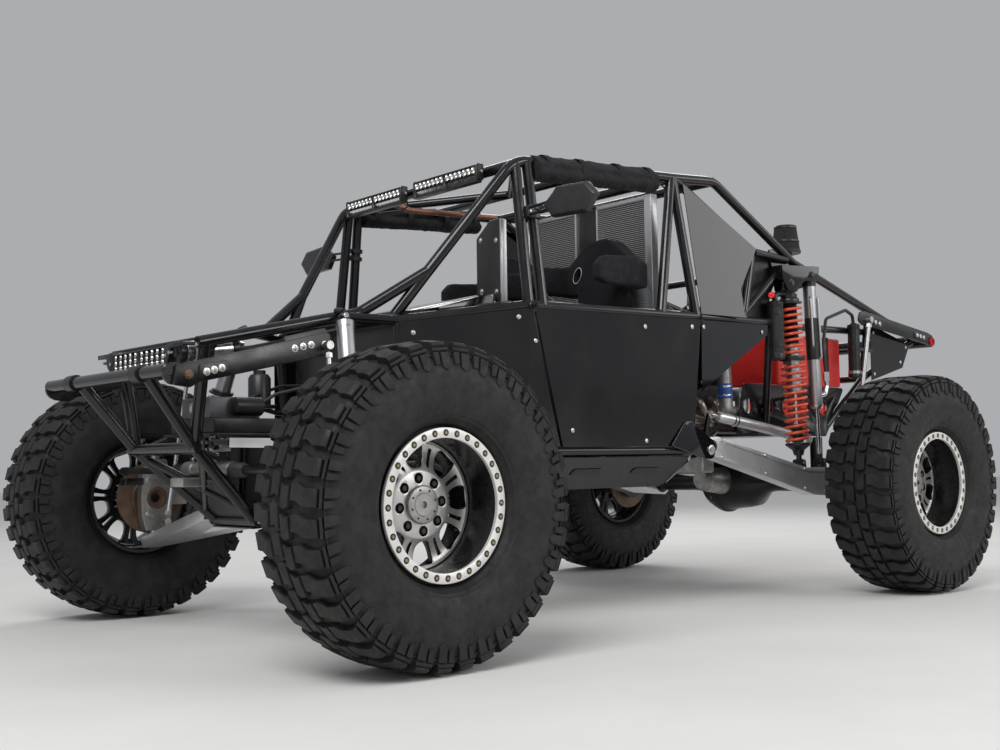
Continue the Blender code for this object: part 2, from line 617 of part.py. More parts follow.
def damper(name, eyes, profile, rgb, sides=12):
    """A round damper between its two eyes; profile holds (share of the length from the top, radius)."""
    top, bottom = eyes
    run = Vector(bottom) - Vector(top)
    loop = [(-EYE_UP, 0), (-EYE_UP, profile[0][1])]
    loop += [(share * run.length, radius) for share, radius in profile[1:]]
    loop += [(run.length + EYE_DOWN, loop[-1][1]), (run.length + EYE_DOWN, 0)]
    for side, word in ((1, "left"), (-1, "right")):
        axis = (side * run.x, run.y, run.z)
        spot = (side * top[0], top[1], top[2])
        shape = turned(spot, axis, loop, sides)
        finish(mesh_object(f"{name}_{word}", shape, paint(f"{name}_{word}_metal", rgb, 0.3, 1.0)))


FRONT_PROFILE = [
    (0, 0.018), (0.03, 0.018), (0.03, 0.034), (0.33, 0.034), (0.33, 0.0545), (0.86, 0.0545), (0.86, 0.018),
]
REAR_PROFILE = [
    (0, 0.020), (0.03, 0.020), (0.03, 0.034), (0.07, 0.034), (0.10, 0.0605), (0.90, 0.0605), (0.94, 0.020),
]
BYPASS_PROFILE = [
    (0, 0.019), (0.03, 0.019), (0.03, 0.033), (0.70, 0.033), (0.70, 0.012), (0.95, 0.012), (0.95, 0.019),
]
damper("coilover_front", FRONT_COIL, FRONT_PROFILE, ALU)
damper("coilover_rear", REAR_COIL, REAR_PROFILE, (0.80, 0.22, 0.12))
damper("bypass_rear", BYPASS, BYPASS_PROFILE, (0.7, 0.7, 0.71))

# Rear axle and its links
axle_spot = (0, WHEELBASE, TYRE_R)
AXLE_R = 0.045
AXLE_END = TRACK_R / 2 + ROTOR_IN - HUB_STUB - SEAT_GAP
axle_bits = [
    turned(axle_spot, (1, 0, 0), [
        (-AXLE_END, 0), (AXLE_END, 0), (AXLE_END, 0.090), (AXLE_END - 0.020, 0.090), (AXLE_END - 0.020, AXLE_R),
        (0.200, AXLE_R), (0.120, 0.130), (-0.080, 0.160), (-0.160, 0.130), (-0.240, AXLE_R),
        (-AXLE_END + 0.020, AXLE_R), (-AXLE_END + 0.020, 0.090), (-AXLE_END, 0.090),
    ], 16),
    turned((-0.030, WHEELBASE - 0.300, TYRE_R + 0.020), (0, 1, -0.05), [
        (0, 0), (0, 0.060), (0.220, 0.080), (0.300, 0.080), (0.300, 0),
    ], 12),
]
for side in (1, -1):
    low, high = sorted((side * 0.460, side * 0.490))
    axle_bits.append(block((low, 2.930, 0.500), (high, 3.000, 0.760)))
    low, high = sorted((side * 0.505, side * 0.535))
    axle_bits.append(block((low, 2.950, 0.480), (high, 3.250, 0.560)))
    way = both(list(UPPER_LINK))[0 if side > 0 else 1]
    reach = (Vector(way[1]) - Vector(way[0])).length + EYE_DOWN
    axle_bits.append(boss(way[0], way[1], reach + SEAT_GAP, reach + 0.030, 0.018))
fuse("rear_axle", axle_bits, paint("rear_axle_paint", (0.03, 0.03, 0.032), 0.4))

for side, word in ((1, "left"), (-1, "right")):
    outline = [
        (1.930, 0.722), (1.985, 0.732), (2.660, 0.585), (2.990, 0.582), (3.030, 0.540),
        (3.025, 0.470), (2.985, 0.436), (2.720, 0.452), (1.960, 0.642), (1.918, 0.680),
    ]
    arm = slab([(side * 0.548, y, z) for y, z in outline], (side * 0.0797, 0, 0))
    hole = rod((side * 0.500, WHEELBASE, TYRE_R), (side * 0.700, WHEELBASE, TYRE_R), AXLE_R + SEAT_GAP + 0.001, 16)
    arm_bits = [arm]
    for eyes in (REAR_COIL, BYPASS):
        way = both(list(eyes))[0 if side > 0 else 1]
        reach = (Vector(way[1]) - Vector(way[0])).length + EYE_DOWN + SEAT_GAP
        arm_bits.append(boss(way[0], way[1], reach, reach + 0.035, 0.024))
    alloy = paint(f"trailing_arm_{word}_alloy", ALU, 0.3, 1.0)
    fuse(f"trailing_arm_{word}", arm_bits, alloy, smooth=False, cuts=[hole])
    way = both(list(UPPER_LINK))[0 if side > 0 else 1]
    run = Vector(way[1]) - Vector(way[0])
    end = run.length + EYE_DOWN
    link_loop = [
        (0, 0), (0, 0.016), (0.050, 0.016), (0.050, 0.026), (0.670, 0.026), (0.670, 0.016), (end, 0.016), (end, 0),
    ]
    link = turned(way[0], run, link_loop, 10)
    finish(mesh_object(f"upper_link_{word}", link, paint(f"upper_link_{word}_alloy", ALU, 0.25, 1.0)))

# Power unit and tank
mount_x = CRADLE_F[0] - R_RAIL * math.cos(math.pi / THIN_SIDES) - 4 * SEAT_GAP
engine = [
    block((-0.280, 1.990, 0.750), (0.280, 2.580, 1.180)),
    block((-0.120, 2.500, 0.560), (0.120, 2.600, 0.900)),
    block((-mount_x, 2.350, 0.762), (mount_x, 2.420, 0.778)),
]
fuse("engine", engine, paint("engine_block", (0.10, 0.10, 0.105), 0.45, 0.6), smooth=False)
fuel = block((-0.388, 2.780, 1.000), (0.388, 3.350, 1.272))
finish(mesh_object("fuel_cell", fuel, paint("fuel_cell_plastic", (0.62, 0.015, 0.012), 0.35)), smooth=False)
pan = [block((-0.386, 2.620, 0.7447), (0.386, 3.180, CRADLE_F[2] - R_RAIL - SEAT_GAP))]
holes = []
for side in (1, -1):
    outline = [(2.430, 0.742), (3.190, 0.742), (3.370, 1.000 - SEAT_GAP), (2.500, 1.000 - SEAT_GAP)]
    pan.append(slab([(side * 0.382, y, z) for y, z in outline], (side * 0.004, 0, 0)))
    for start, end in ((QUARTER_R, (0.360, 2.700, 0.770)), (CRADLE_R, TAIL_LOW)):
        way = both([start, end])[0 if side > 0 else 1]
        holes.append(tube(way, R_RAIL + 0.003, THIN_SIDES))
    for k in range(5):
        y = 2.530 + 0.160 * k
        low, high = sorted((side * 0.370, side * 0.400))
        holes.append(rod((low, y, 0.890), (high, y, 0.890), 0.038, 8))
fuse("rear_skid", pan, paint("rear_skid_paint", BLACK, 0.35), cuts=holes)
PIPE = [
    (0.2805, 2.545, 0.950), (0.338, 2.545, 0.950), (0.338, 2.545, 0.862),
    (0.338, 2.480, 0.852), (0.338, 2.420, 0.870), (0.338, 2.412, 1.175),
]
pipe = tube(PIPE, 0.036, 10)
finish(mesh_object("charge_pipe", pipe, paint("charge_pipe_alloy", ALU, 0.35, 1.0)))
intake = [
    tube([(0.100, 2.400, 1.1803), (0.100, 2.400, 1.320), (0.240, 3.040, 1.620), (0.250, 3.080, 1.730)], 0.036, 10),
    turned((0.250, 3.080, 1.716), (0, 0, 1), [(0, 0), (0, 0.078), (0.150, 0.060), (0.150, 0)], 16),
]
fuse("intake", intake, paint("intake_metal", (0.05, 0.05, 0.052), 0.4))
radiator = block((-0.430, SILL_R[1] - 0.027, SILL_R[2] + R_RAIL + SEAT_GAP), (0.430, SILL_R[1] + 0.031, 1.840))
finish(mesh_object("radiator", radiator, paint("radiator_alloy", (0.5, 0.5, 0.51), 0.35, 1.0)), smooth=False)

# Seats, nets and mirrors
NET_R = 0.043
NET_DROP = 0.030
NET_OUT = 0.013
NET_ENDS = (0.112, 0.852)
for side, word in ((1, "left"), (-1, "right")):
    outline = [
        (1.090, 0.640), (1.060, 0.740), (1.100, 0.790), (1.380, 0.750), (1.430, 0.790), (1.500, 1.190),
        (1.540, 1.285), (1.620, 1.300), (1.645, 1.270), (1.560, 0.700), (1.500, 0.640),
    ]
    shell = slab([(side * 0.080, y, z) for y, z in outline], (side * 0.460, 0, 0))
    neck = [(1.540, 1.250), (1.560, 1.420), (1.650, 1.420), (1.640, 1.250)]
    head = [
        (0.080, 1.375), (0.540, 1.375), (0.540, 1.490), (0.480, 1.530),
        (0.400, 1.600), (0.360, 1.620), (0.260, 1.620), (0.220, 1.600), (0.140, 1.530), (0.080, 1.490),
    ]
    wings = [
        slab([(side * 0.190, y, z) for y, z in neck], (side * 0.240, 0, 0)),
        slab([(side * x, 1.580, z) for x, z in head], (0, 0.105, 0)),
    ]
    for x in (0.080, 0.485):
        wing = [(1.335, 1.395), (1.335, 1.465), (1.375, 1.500), (1.600, 1.515), (1.600, 1.375), (1.380, 1.375)]
        wings.append(slab([(side * x, y, z) for y, z in wing], (side * 0.055, 0, 0)))
    harness_holes = []
    for x in (0.185, 0.435):
        harness_holes.append(rod((side * x, 1.500, 1.470), (side * x, 1.800, 1.470), 0.026, 10))
    low, high = sorted((side * 0.160, side * 0.440))
    wings.append(block((low, 1.120, 0.5686), (high, 1.470, 0.660)))
    seat_fabric = paint(f"seat_{word}_fabric", (0.02, 0.02, 0.02), 0.9)
    fuse(f"seat_{word}", [shell] + wings, seat_fabric, cuts=harness_holes)
    rail = [(side * p[0], p[1], p[2]) for p in (ROOF_F, ROOF_R)]
    ends = []
    for share in NET_ENDS:
        spot = between(rail[0], rail[1], share)
        ends.append((spot[0] + side * NET_OUT, spot[1], spot[2] - NET_DROP))
    cross_bar = [(0.575, 1.340, 1.847), (-0.575, 1.340, 1.847)]
    around = [tube(rail, R_MAIN + SEAT_GAP), tube(cross_bar, R_RAIL + SEAT_GAP, THIN_SIDES)]
    net_fabric = paint(f"net_roll_{word}_fabric", (0.015, 0.015, 0.015), 0.9)
    fuse(f"net_roll_{word}", [rod(ends[0], ends[1], NET_R, 14)], net_fabric, cuts=around)
    low, high = sorted((side * 0.715, side * 0.985))
    glass = block((low, 0.835, 1.552), (high, 0.880, 1.668))
    stem = rod((side * 0.6200, 0.858, 1.604), (side * 0.730, 0.858, 1.610), 0.012)
    fuse(f"mirror_{word}", [glass, stem], paint(f"mirror_{word}_plastic", (0.02, 0.02, 0.02), 0.4))

# Steering rod, one bar that slides in its housing
rack = rod((0.745, RACK_Y, RACK_Z), (-0.745, RACK_Y, RACK_Z), RACK_R, 10)
rack_steel = paint("steering_rod_steel", (0.05, 0.05, 0.05), 0.4, 0.8)
finish(mesh_object("steering_rod", rack, rack_steel), origin=(0, RACK_Y, RACK_Z))

# Knuckles
for side, word in ((1, "left"), (-1, "right")):
    outline = [
        (-0.050, 0.366), (0.050, 0.366), (0.075, 0.430), (0.075, 0.590),
        (0.045, 0.672), (-0.045, 0.672), (-0.075, 0.600), (-0.075, 0.430),
    ]
    face_x = TRACK_F / 2 + ROTOR_IN - HUB_STUB - SEAT_GAP
    cast = slab([(side * 0.772, y, z) for y, z in outline], (side * (face_x - 0.772), 0, 0))
    arm_plan = [(0.770, -0.060), (0.815, -0.060), (0.775, -0.168), (0.728, -0.160)]
    arm = slab([(side * x, y, 0.560) for x, y in arm_plan], (0, 0, 0.032))
    low, high = sorted((side * 0.795, side * 0.820))
    caliper_arm = block((low, 0.060, 0.470), (high, 0.220, 0.545))
    low, high = sorted((side * 0.795, side * 0.850))
    caliper = block((low, 0.176, 0.440), (high, 0.222, 0.572))
    knuckle_bits = [
        cast, arm, caliper_arm, caliper,
        turned((side * KINGPIN_X, 0, 0.640), (0, 0, 1), [(0, 0), (0, 0.020), (0.0407, 0.020), (0.0407, 0)], 12),
        turned((side * KINGPIN_X, 0, 0.3581), (0, 0, 1), [(0, 0), (0, 0.020), (0.040, 0.020), (0.040, 0)], 12),
    ]
    bore = rod((side * 0.740, 0, TYRE_R), (side * 0.900, 0, TYRE_R), 0.034, 12)
    iron = paint(f"knuckle_{word}_cast", (0.45, 0.44, 0.42), 0.5, 1.0)
    fuse(f"knuckle_{word}", knuckle_bits, iron, origin=(side * KINGPIN_X, 0, TYRE_R), cuts=[bore])

# Wheels
WHEELS = [
    # name, side, track, distance behind the front axle
    ("front_left", 1, TRACK_F, 0.0),
    ("front_right", -1, TRACK_F, 0.0),
    ("rear_left", 1, TRACK_R, WHEELBASE),
    ("rear_right", -1, TRACK_R, WHEELBASE),
]
RIM_LOOP = [
    (ROTOR_IN - HUB_STUB, 0), (ROTOR_IN - HUB_STUB, HUB_STUB_R), (ROTOR_IN, HUB_STUB_R), (ROTOR_IN, ROTOR_R),
    (ROTOR_OUT, ROTOR_R), (ROTOR_OUT, HUB_R), (-0.034, HUB_R), (-0.034, DISH_R), (RIM_IN, DISH_R), (RIM_IN, RING_R),
    (-0.116, RING_R), (-0.116, RIM_R), (0.108, RIM_R), (0.108, RING_R), (RING_OUT, RING_R), (RING_OUT, DISH_R),
    (-0.012, DISH_R), (-0.012, 0.050), (0.007, 0.045), (0.007, 0),
]
WINDOWS = 8
WINDOW = [(0.120, 0.022), (0.150, 0.036), (0.184, 0.045)]
# The tread rows stand up at each lug and drop between two; the sidewall rows are round
TREAD_ROWS = [
    # half width at a lug and between two, radius at a lug and between two
    (0.172, 0.166, 0.450, 0.450),
    (TREAD_HALF_W, 0.148, 0.496, 0.496 - LUG_H),
    (0.080, 0.080, TYRE_R, TYRE_R - LUG_H * 0.6),
]
WALL_OUT = [(TYRE_HALF_W, 0.360), (0.150, 0.262), (0.1077, 0.240), (0.1077, TYRE_SEAT_R)]
WALL_IN = [(-TYRE_HALF_W, 0.360), (-0.150, 0.262), (-0.1157, 0.240), (-0.1155, TYRE_SEAT_R)]


def tyre_shape(centre, side):
    """A tyre with a lug at each second place round its tread."""
    middle = axle_frame(centre)
    bm = bmesh.new()

    def ring(count, places):
        row = []
        for k in range(count):
            a = 2 * math.pi * k / count
            along, radius = places[k % len(places)]
            row.append(bm.verts.new(middle + Vector((side * along, radius * math.sin(a), radius * math.cos(a)))))
        return row

    outer = [ring(LUGS, [place]) for place in reversed(WALL_OUT)]
    tread = [ring(2 * LUGS, [(x, r), (x_low, r_low)]) for x, x_low, r, r_low in TREAD_ROWS]
    tread += [ring(2 * LUGS, [(-x, r), (-x_low, r_low)]) for x, x_low, r, r_low in reversed(TREAD_ROWS)]
    inner = [ring(LUGS, [place]) for place in WALL_IN]
    for rows in (outer, tread, inner, [inner[-1], outer[0]]):
        for a, b in zip(rows, rows[1:]):
            for k in range(len(a)):
                n = (k + 1) % len(a)
                bm.faces.new((a[k], a[n], b[n], b[k]))
    for wall, edge in ((outer[-1], tread[0]), (inner[0], tread[-1])):
        for k in range(LUGS):
            n = (k + 1) % LUGS
            bm.faces.new((wall[k], wall[n], edge[2 * k + 1]))
            bm.faces.new((wall[k], edge[2 * k + 1], edge[2 * k]))
            bm.faces.new((wall[n], edge[(2 * k + 2) % (2 * LUGS)], edge[2 * k + 1]))
    return bm


for name, side, track, y in WHEELS:
    spot = (side * track / 2, y, TYRE_R)
    rim = turned(spot, (side, 0, 0), RIM_LOOP, 16)
    windows = []
    for k in range(WINDOWS):
        a = 2 * math.pi * k / WINDOWS
        outline = [(r, w) for r, w in WINDOW] + [(r, -w) for r, w in reversed(WINDOW)]
        corners = []
        for r, w in outline:
            turned_y, turned_z = r * math.sin(a) + w * math.cos(a), r * math.cos(a) - w * math.sin(a)
            corners.append((spot[0] - side * 0.050, y + turned_y, TYRE_R + turned_z))
        windows.append(slab(corners, (side * 0.060, 0, 0)))
    alloy = paint(f"wheel_{name}_alloy", ALU, 0.25, 1.0)
    fuse(f"wheel_{name}", [rim], alloy, origin=spot, cuts=windows)
    tyre = tyre_shape(spot, side)
    finish(mesh_object(f"tyre_{name}", tyre, paint(f"tyre_{name}_rubber", (0.03, 0.03, 0.03), 0.85)), origin=spot)
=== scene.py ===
import math

import bmesh
import bpy
from mathutils import Matrix, Vector


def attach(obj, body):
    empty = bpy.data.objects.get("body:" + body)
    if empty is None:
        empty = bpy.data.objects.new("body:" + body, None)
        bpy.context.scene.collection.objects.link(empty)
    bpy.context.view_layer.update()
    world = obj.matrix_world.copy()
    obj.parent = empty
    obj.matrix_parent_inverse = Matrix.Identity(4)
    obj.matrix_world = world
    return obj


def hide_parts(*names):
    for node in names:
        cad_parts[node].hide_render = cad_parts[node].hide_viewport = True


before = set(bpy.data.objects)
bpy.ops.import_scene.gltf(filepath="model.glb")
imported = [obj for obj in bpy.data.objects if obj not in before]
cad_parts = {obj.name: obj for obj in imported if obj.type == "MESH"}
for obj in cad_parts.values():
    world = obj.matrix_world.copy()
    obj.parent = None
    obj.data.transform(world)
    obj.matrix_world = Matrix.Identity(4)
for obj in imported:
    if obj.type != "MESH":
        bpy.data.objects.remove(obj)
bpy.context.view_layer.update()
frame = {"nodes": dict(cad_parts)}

# Places are counted from the front axle, as in the part, and moved to the object's frame by at().
AXLE_Y = -1.7275
WHEELBASE = 2.959
HALF_TRACK_F, HALF_TRACK_R = 1.033, 1.0095
# How far a wheel's hub reaches inwards from the middle of its tyre, and the gap where solids meet
HUB_DEPTH, SEAT_GAP = 0.2107, 0.0003
ORIGIN = (0, 0, 0)
ACROSS, BACK, UP = (1, 0, 0), (0, 1, 0), (0, 0, 1)


def at(p):
    return Vector((p[0], p[1] + AXLE_Y, p[2]))


def places(*points):
    return [at(p) for p in points]


def standing(y, *outline):
    """Corners of an outline that stands across the car."""
    return [at((x, y, z)) for x, z in outline]


def flip(p):
    return (-p[0], p[1], p[2])


def both(path):
    return [path, [flip(p) for p in path]]


def between(a, b, t):
    return tuple(a[i] + (b[i] - a[i]) * t for i in range(3))


# Profiles of turned shapes, as (along, radius)

def rod(length, radius):
    return [(0, 0), (0, radius), (length, radius), (length, 0)]


def sleeve(start, end, inner, outer):
    return [(start, inner), (start, outer), (end, outer), (end, inner), (start, inner)]


def drum(length, radius, edge, face, bore=0):
    """A rod whose ends taper over edge to the radius of its faces, solid or with a bore."""
    profile = [(0, bore), (0, face), (edge, radius), (length - edge, radius), (length, face), (length, bore)]
    return profile + [(0, bore)] if bore else profile


# Tools for modelling

# Edges of plates and blocks stay crisp above this angle, in degrees
CRISP = 24


def put_down():
    if bpy.context.mode != "OBJECT":
        bpy.ops.object.mode_set(mode="OBJECT")
    bpy.ops.object.select_all(action="DESELECT")


def take(*objs):
    put_down()
    for obj in objs:
        obj.select_set(True)
    bpy.context.view_layer.objects.active = objs[0]
    return objs[0]


def edit(obj):
    take(obj)
    bpy.ops.object.mode_set(mode="EDIT")


def lay_flat():
    """The active object's place, turn and scale go into its mesh."""
    bpy.ops.object.transform_apply(location=True, rotation=True, scale=True)
    return bpy.context.active_object


def named(obj, name, material=None):
    obj.name = name
    obj.data.name = name
    if material is not None:
        obj.data.materials.clear()
        obj.data.materials.append(material)
    return obj


def use(obj, kind, **settings):
    """Adds a modifier and applies it."""
    take(obj)
    mod = obj.modifiers.new(kind, kind)
    for key, value in settings.items():
        setattr(mod, key, value)
    bpy.ops.object.modifier_apply(modifier=mod.name)
    return obj


def soften(obj, width, segments=2, angle=40):
    return use(
        obj, "BEVEL", width=width, segments=segments, limit_method="ANGLE", angle_limit=math.radians(angle),
        use_clamp_overlap=True
    )


def smooth(obj, angle=35):
    take(obj)
    bpy.ops.object.shade_smooth_by_angle(angle=math.radians(angle))
    return obj


def draw(points, closed=False):
    """A chain of edges through places in the object's frame, left in edit mode with all of it selected."""
    put_down()
    bpy.ops.mesh.primitive_plane_add(size=0.01, location=(0, 0, 0))
    obj = bpy.context.active_object
    bpy.ops.object.mode_set(mode="EDIT")
    bpy.ops.mesh.merge(type="CENTER")
    bpy.ops.transform.translate(value=tuple(points[0]))
    for a, b in zip(points, points[1:]):
        pull(b - a)
    bpy.ops.mesh.select_all(action="SELECT")
    if closed:
        bpy.ops.mesh.edge_face_add()
    return obj


def pull(shift):
    """Extrudes what is selected."""
    bpy.ops.mesh.extrude_region_move(TRANSFORM_OT_translate={"value": tuple(shift)})


def tidy_mesh():
    bpy.ops.mesh.select_all(action="SELECT")
    bpy.ops.mesh.remove_doubles(threshold=0.00002)
    bpy.ops.mesh.normals_make_consistent(inside=False)
    bpy.ops.object.mode_set(mode="OBJECT")


def plate(name, points, shift, material=None, edge=0.0, segments=2):
    """A flat plate: an outline in the object's frame, extruded by shift, its edges rounded."""
    obj = draw([Vector(p) for p in points], closed=True)
    pull(shift)
    tidy_mesh()
    if edge:
        soften(obj, edge, segments)
    return smooth(named(obj, name, material), CRISP)


def turn(name, centre, axis, profile, steps=48, material=None):
    """A shape spun from a profile of (along, radius) round an axis through centre."""
    axis = Vector(axis).normalized()
    out = Vector(UP if abs(axis.z) < 0.9 else BACK)
    out = (out - axis * out.dot(axis)).normalized()
    centre = Vector(centre)
    obj = draw([centre + axis * s + out * r for s, r in profile])
    bpy.ops.mesh.spin(steps=steps, angle=2 * math.pi, center=tuple(centre), axis=tuple(axis))
    tidy_mesh()
    return smooth(named(obj, name, material))


def block(name, low, high, material=None, edge=0.002, segments=2):
    """A box between two corners with rounded edges."""
    put_down()
    low, high = Vector(low), Vector(high)
    bpy.ops.mesh.primitive_cube_add(size=1, location=tuple((low + high) / 2), scale=tuple(high - low))
    obj = lay_flat()
    if edge:
        soften(obj, edge, segments)
    return smooth(named(obj, name, material), CRISP)


def bar(name, path, radius, bend=0.0, sides=16, material=None):
    """A round bar: a circle pulled along its path, and turned round the centre of each bend."""
    pts = [Vector(p) for p in path]
    put_down()
    heading = (pts[1] - pts[0]).normalized()
    turn_to = heading.to_track_quat("Z", "Y").to_euler()
    bpy.ops.mesh.primitive_circle_add(
        vertices=sides, radius=radius, location=tuple(pts[0]), rotation=turn_to, fill_type="NGON"
    )
    obj = lay_flat()
    bpy.ops.object.mode_set(mode="EDIT")
    bpy.ops.mesh.select_all(action="SELECT")
    here = pts[0]
    for i in range(1, len(pts)):
        way = (pts[i] - pts[i - 1]).normalized()
        stop = pts[i]
        if i + 1 < len(pts):
            after = (pts[i + 1] - pts[i]).normalized()
            angle = way.angle(after)
            if angle < 0.01:
                continue
            slope = math.tan(angle / 2)
            room = 0.45 * min((pts[i] - here).length, (pts[i + 1] - pts[i]).length)
            cut = min(bend * slope, room) if bend else radius * slope * 1.05
            arc = cut / slope
            stop = pts[i] - way * cut
        if (stop - here).length > 1e-5:
            pull(stop - here)
        here = stop
        if i + 1 < len(pts):
            side = (after - way * after.dot(way)).normalized()
            axis = side.cross(way)
            steps = max(2, round(math.degrees(angle) / 9))
            bpy.ops.mesh.spin(steps=steps, angle=angle, center=tuple(here + side * arc), axis=tuple(axis))
            here = pts[i] + after * cut
    tidy_mesh()
    return smooth(named(obj, name, material), 50)


def copied(obj, name=None):
    """A copy with its own mesh."""
    twin = obj.copy()
    twin.data = obj.data.copy()
    bpy.context.scene.collection.objects.link(twin)
    if name:
        named(twin, name)
    return twin


def moved(obj, matrix, name=None):
    """A copy, carried to another place."""
    twin = copied(obj, name)
    twin.data.transform(matrix)
    if matrix.determinant() < 0:
        twin.data.flip_normals()
    return twin


def join(name, objs):
    """One piece out of several, and the originals go."""
    objs = list(objs)
    take(*objs)
    if len(objs) > 1:
        bpy.ops.object.join()
    return named(bpy.context.active_object, name)


def mirror_x(obj, name):
    return moved(obj, Matrix.Scale(-1, 4, ACROSS), name)


def wear(piece, body, slot, *nodes):
    """The piece rides on its body and stands for the nodes named; the slot is not used."""
    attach(piece, body)
    if nodes:
        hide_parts(*nodes)
    return piece


def facing(place, axis, up=UP):
    """Where a small thing modelled at the origin along +Z goes: its foot at place, standing along axis."""
    axis = Vector(axis).normalized()
    up = Vector(up)
    if abs(axis.dot(up.normalized())) > 0.95:
        up = Vector(BACK)
    x = up.cross(axis).normalized()
    y = axis.cross(x)
    m = Matrix((x, y, axis)).transposed().to_4x4()
    return Matrix.Translation(Vector(place)) @ m


# Finishes

class Finish:
    """A node material, built step by step."""

    def __init__(self, name, rgb, rough, metal=0.0, **extra):
        self.mat = bpy.data.materials.new(name)
        self.mat.use_nodes = True
        self.nodes = self.mat.node_tree.nodes
        self.links = self.mat.node_tree.links
        self.shader = self.nodes["Principled BSDF"]
        self.put("Base Color", (*rgb, 1.0))
        self.put("Roughness", rough)
        self.put("Metallic", metal)
        for key, value in extra.items():
            self.put(key.replace("_", " "), value)
        self.place = self.nodes.new("ShaderNodeTexCoord").outputs["Object"]
        self.height = None

    def put(self, socket, value):
        self.shader.inputs[socket].default_value = value

    def noise(self, scale, detail=4.0, rough=0.55, stretch=None, distortion=0.0):
        node = self.nodes.new("ShaderNodeTexNoise")
        node.inputs["Scale"].default_value = scale
        node.inputs["Detail"].default_value = detail
        node.inputs["Roughness"].default_value = rough
        node.inputs["Distortion"].default_value = distortion
        self.links.new(self.stretched(stretch), node.inputs["Vector"])
        return node.outputs["Fac"]

    def stretched(self, stretch):
        if stretch is None:
            return self.place
        node = self.nodes.new("ShaderNodeMapping")
        node.inputs["Scale"].default_value = stretch
        self.links.new(self.place, node.inputs["Vector"])
        return node.outputs["Vector"]

    def wave(self, scale, axis="X", distortion=0.0):
        node = self.nodes.new("ShaderNodeTexWave")
        node.bands_direction = axis
        node.inputs["Scale"].default_value = scale
        node.inputs["Distortion"].default_value = distortion
        self.links.new(self.place, node.inputs["Vector"])
        return node.outputs["Fac"]

    def ramp(self, fac, low, high, first, last):
        """Maps fac from low..high to first..last, numbers or colours."""
        node = self.nodes.new("ShaderNodeMapRange")
        node.inputs["From Min"].default_value = low
        node.inputs["From Max"].default_value = high
        node.clamp = True
        self.links.new(fac, node.inputs["Value"])
        if isinstance(first, (int, float)):
            node.inputs["To Min"].default_value = first
            node.inputs["To Max"].default_value = last
            return node.outputs["Result"]
        mix = self.nodes.new("ShaderNodeMix")
        mix.data_type = "RGBA"
        mix.inputs[6].default_value = (*first, 1.0)
        mix.inputs[7].default_value = (*last, 1.0)
        self.links.new(node.outputs["Result"], mix.inputs[0])
        return mix.outputs[2]

    def combined(self, a, b, how):
        node = self.nodes.new("ShaderNodeMath")
        node.operation = how
        self.links.new(a, node.inputs[0])
        self.links.new(b, node.inputs[1])
        return node.outputs["Value"]

    def to(self, socket, output):
        self.links.new(output, self.shader.inputs[socket])
        return self

    def bump(self, fac, distance, strength=1.0):
        node = self.nodes.new("ShaderNodeBump")
        node.inputs["Distance"].default_value = distance
        node.inputs["Strength"].default_value = strength
        self.links.new(fac, node.inputs["Height"])
        if self.height is not None:
            self.links.new(self.height, node.inputs["Normal"])
        self.height = node.outputs["Normal"]
        self.links.new(self.height, self.shader.inputs["Normal"])
        return self


def powder_coat():
    f = Finish("gloss_black_tube", (0.006, 0.006, 0.007), 0.18)
    f.to("Base Color", f.ramp(f.noise(3.5), 0.35, 0.7, (0.005, 0.005, 0.006), (0.012, 0.012, 0.013)))
    f.to("Roughness", f.ramp(f.noise(14.0), 0.35, 0.75, 0.14, 0.26))
    return f.bump(f.noise(420.0, 2.0), 0.00006, 0.5).mat


def panel_gloss():
    f = Finish("gloss_black_panel", (0.006, 0.006, 0.007), 0.08)
    smear = f.noise(2.2, 6.0, 0.6, distortion=0.6)
    f.to("Base Color", f.ramp(smear, 0.45, 0.75, (0.004, 0.004, 0.005), (0.013, 0.0125, 0.012)))
    f.to("Roughness", f.ramp(smear, 0.4, 0.8, 0.06, 0.2))
    return f.bump(f.noise(7.0, 2.0), 0.0016, 0.25).mat


def satin_black(name="satin_black", rough=0.38):
    f = Finish(name, (0.014, 0.014, 0.014), rough)
    dust = f.noise(9.0, 5.0, 0.65)
    f.to("Base Color", f.ramp(dust, 0.42, 0.78, (0.007, 0.007, 0.0075), (0.024, 0.0225, 0.0205)))
    f.to("Roughness", f.ramp(dust, 0.35, 0.75, rough - 0.06, rough + 0.16))
    return f.bump(f.noise(260.0, 3.0), 0.00012, 0.6).mat


def machined(name, rgb=(0.68, 0.68, 0.69), rough=0.32, scale=900.0, axis=(1.0, 0.04, 1.0), metal=1.0):
    f = Finish(name, rgb, rough, metal)
    grain = f.noise(scale, 2.0, 0.5, stretch=axis)
    f.to("Roughness", f.ramp(grain, 0.3, 0.7, rough - 0.05, rough + 0.1))
    f.to("Base Color", f.ramp(f.noise(12.0, 4.0), 0.35, 0.75, tuple(0.86 * c for c in rgb), rgb))
    return f.bump(grain, 0.00003, 0.5).mat


def cast_alloy():
    rgb, rough = (0.5, 0.49, 0.47), 0.45
    f = Finish("cast_alloy", rgb, rough, 1.0)
    soil = f.noise(22.0, 5.0, 0.6)
    f.to("Base Color", f.ramp(soil, 0.38, 0.75, rgb, tuple(0.55 * c for c in rgb)))
    f.to("Roughness", f.ramp(soil, 0.3, 0.8, rough - 0.08, rough + 0.2))
    return f.bump(f.noise(520.0, 3.0), 0.00035, 0.7).mat


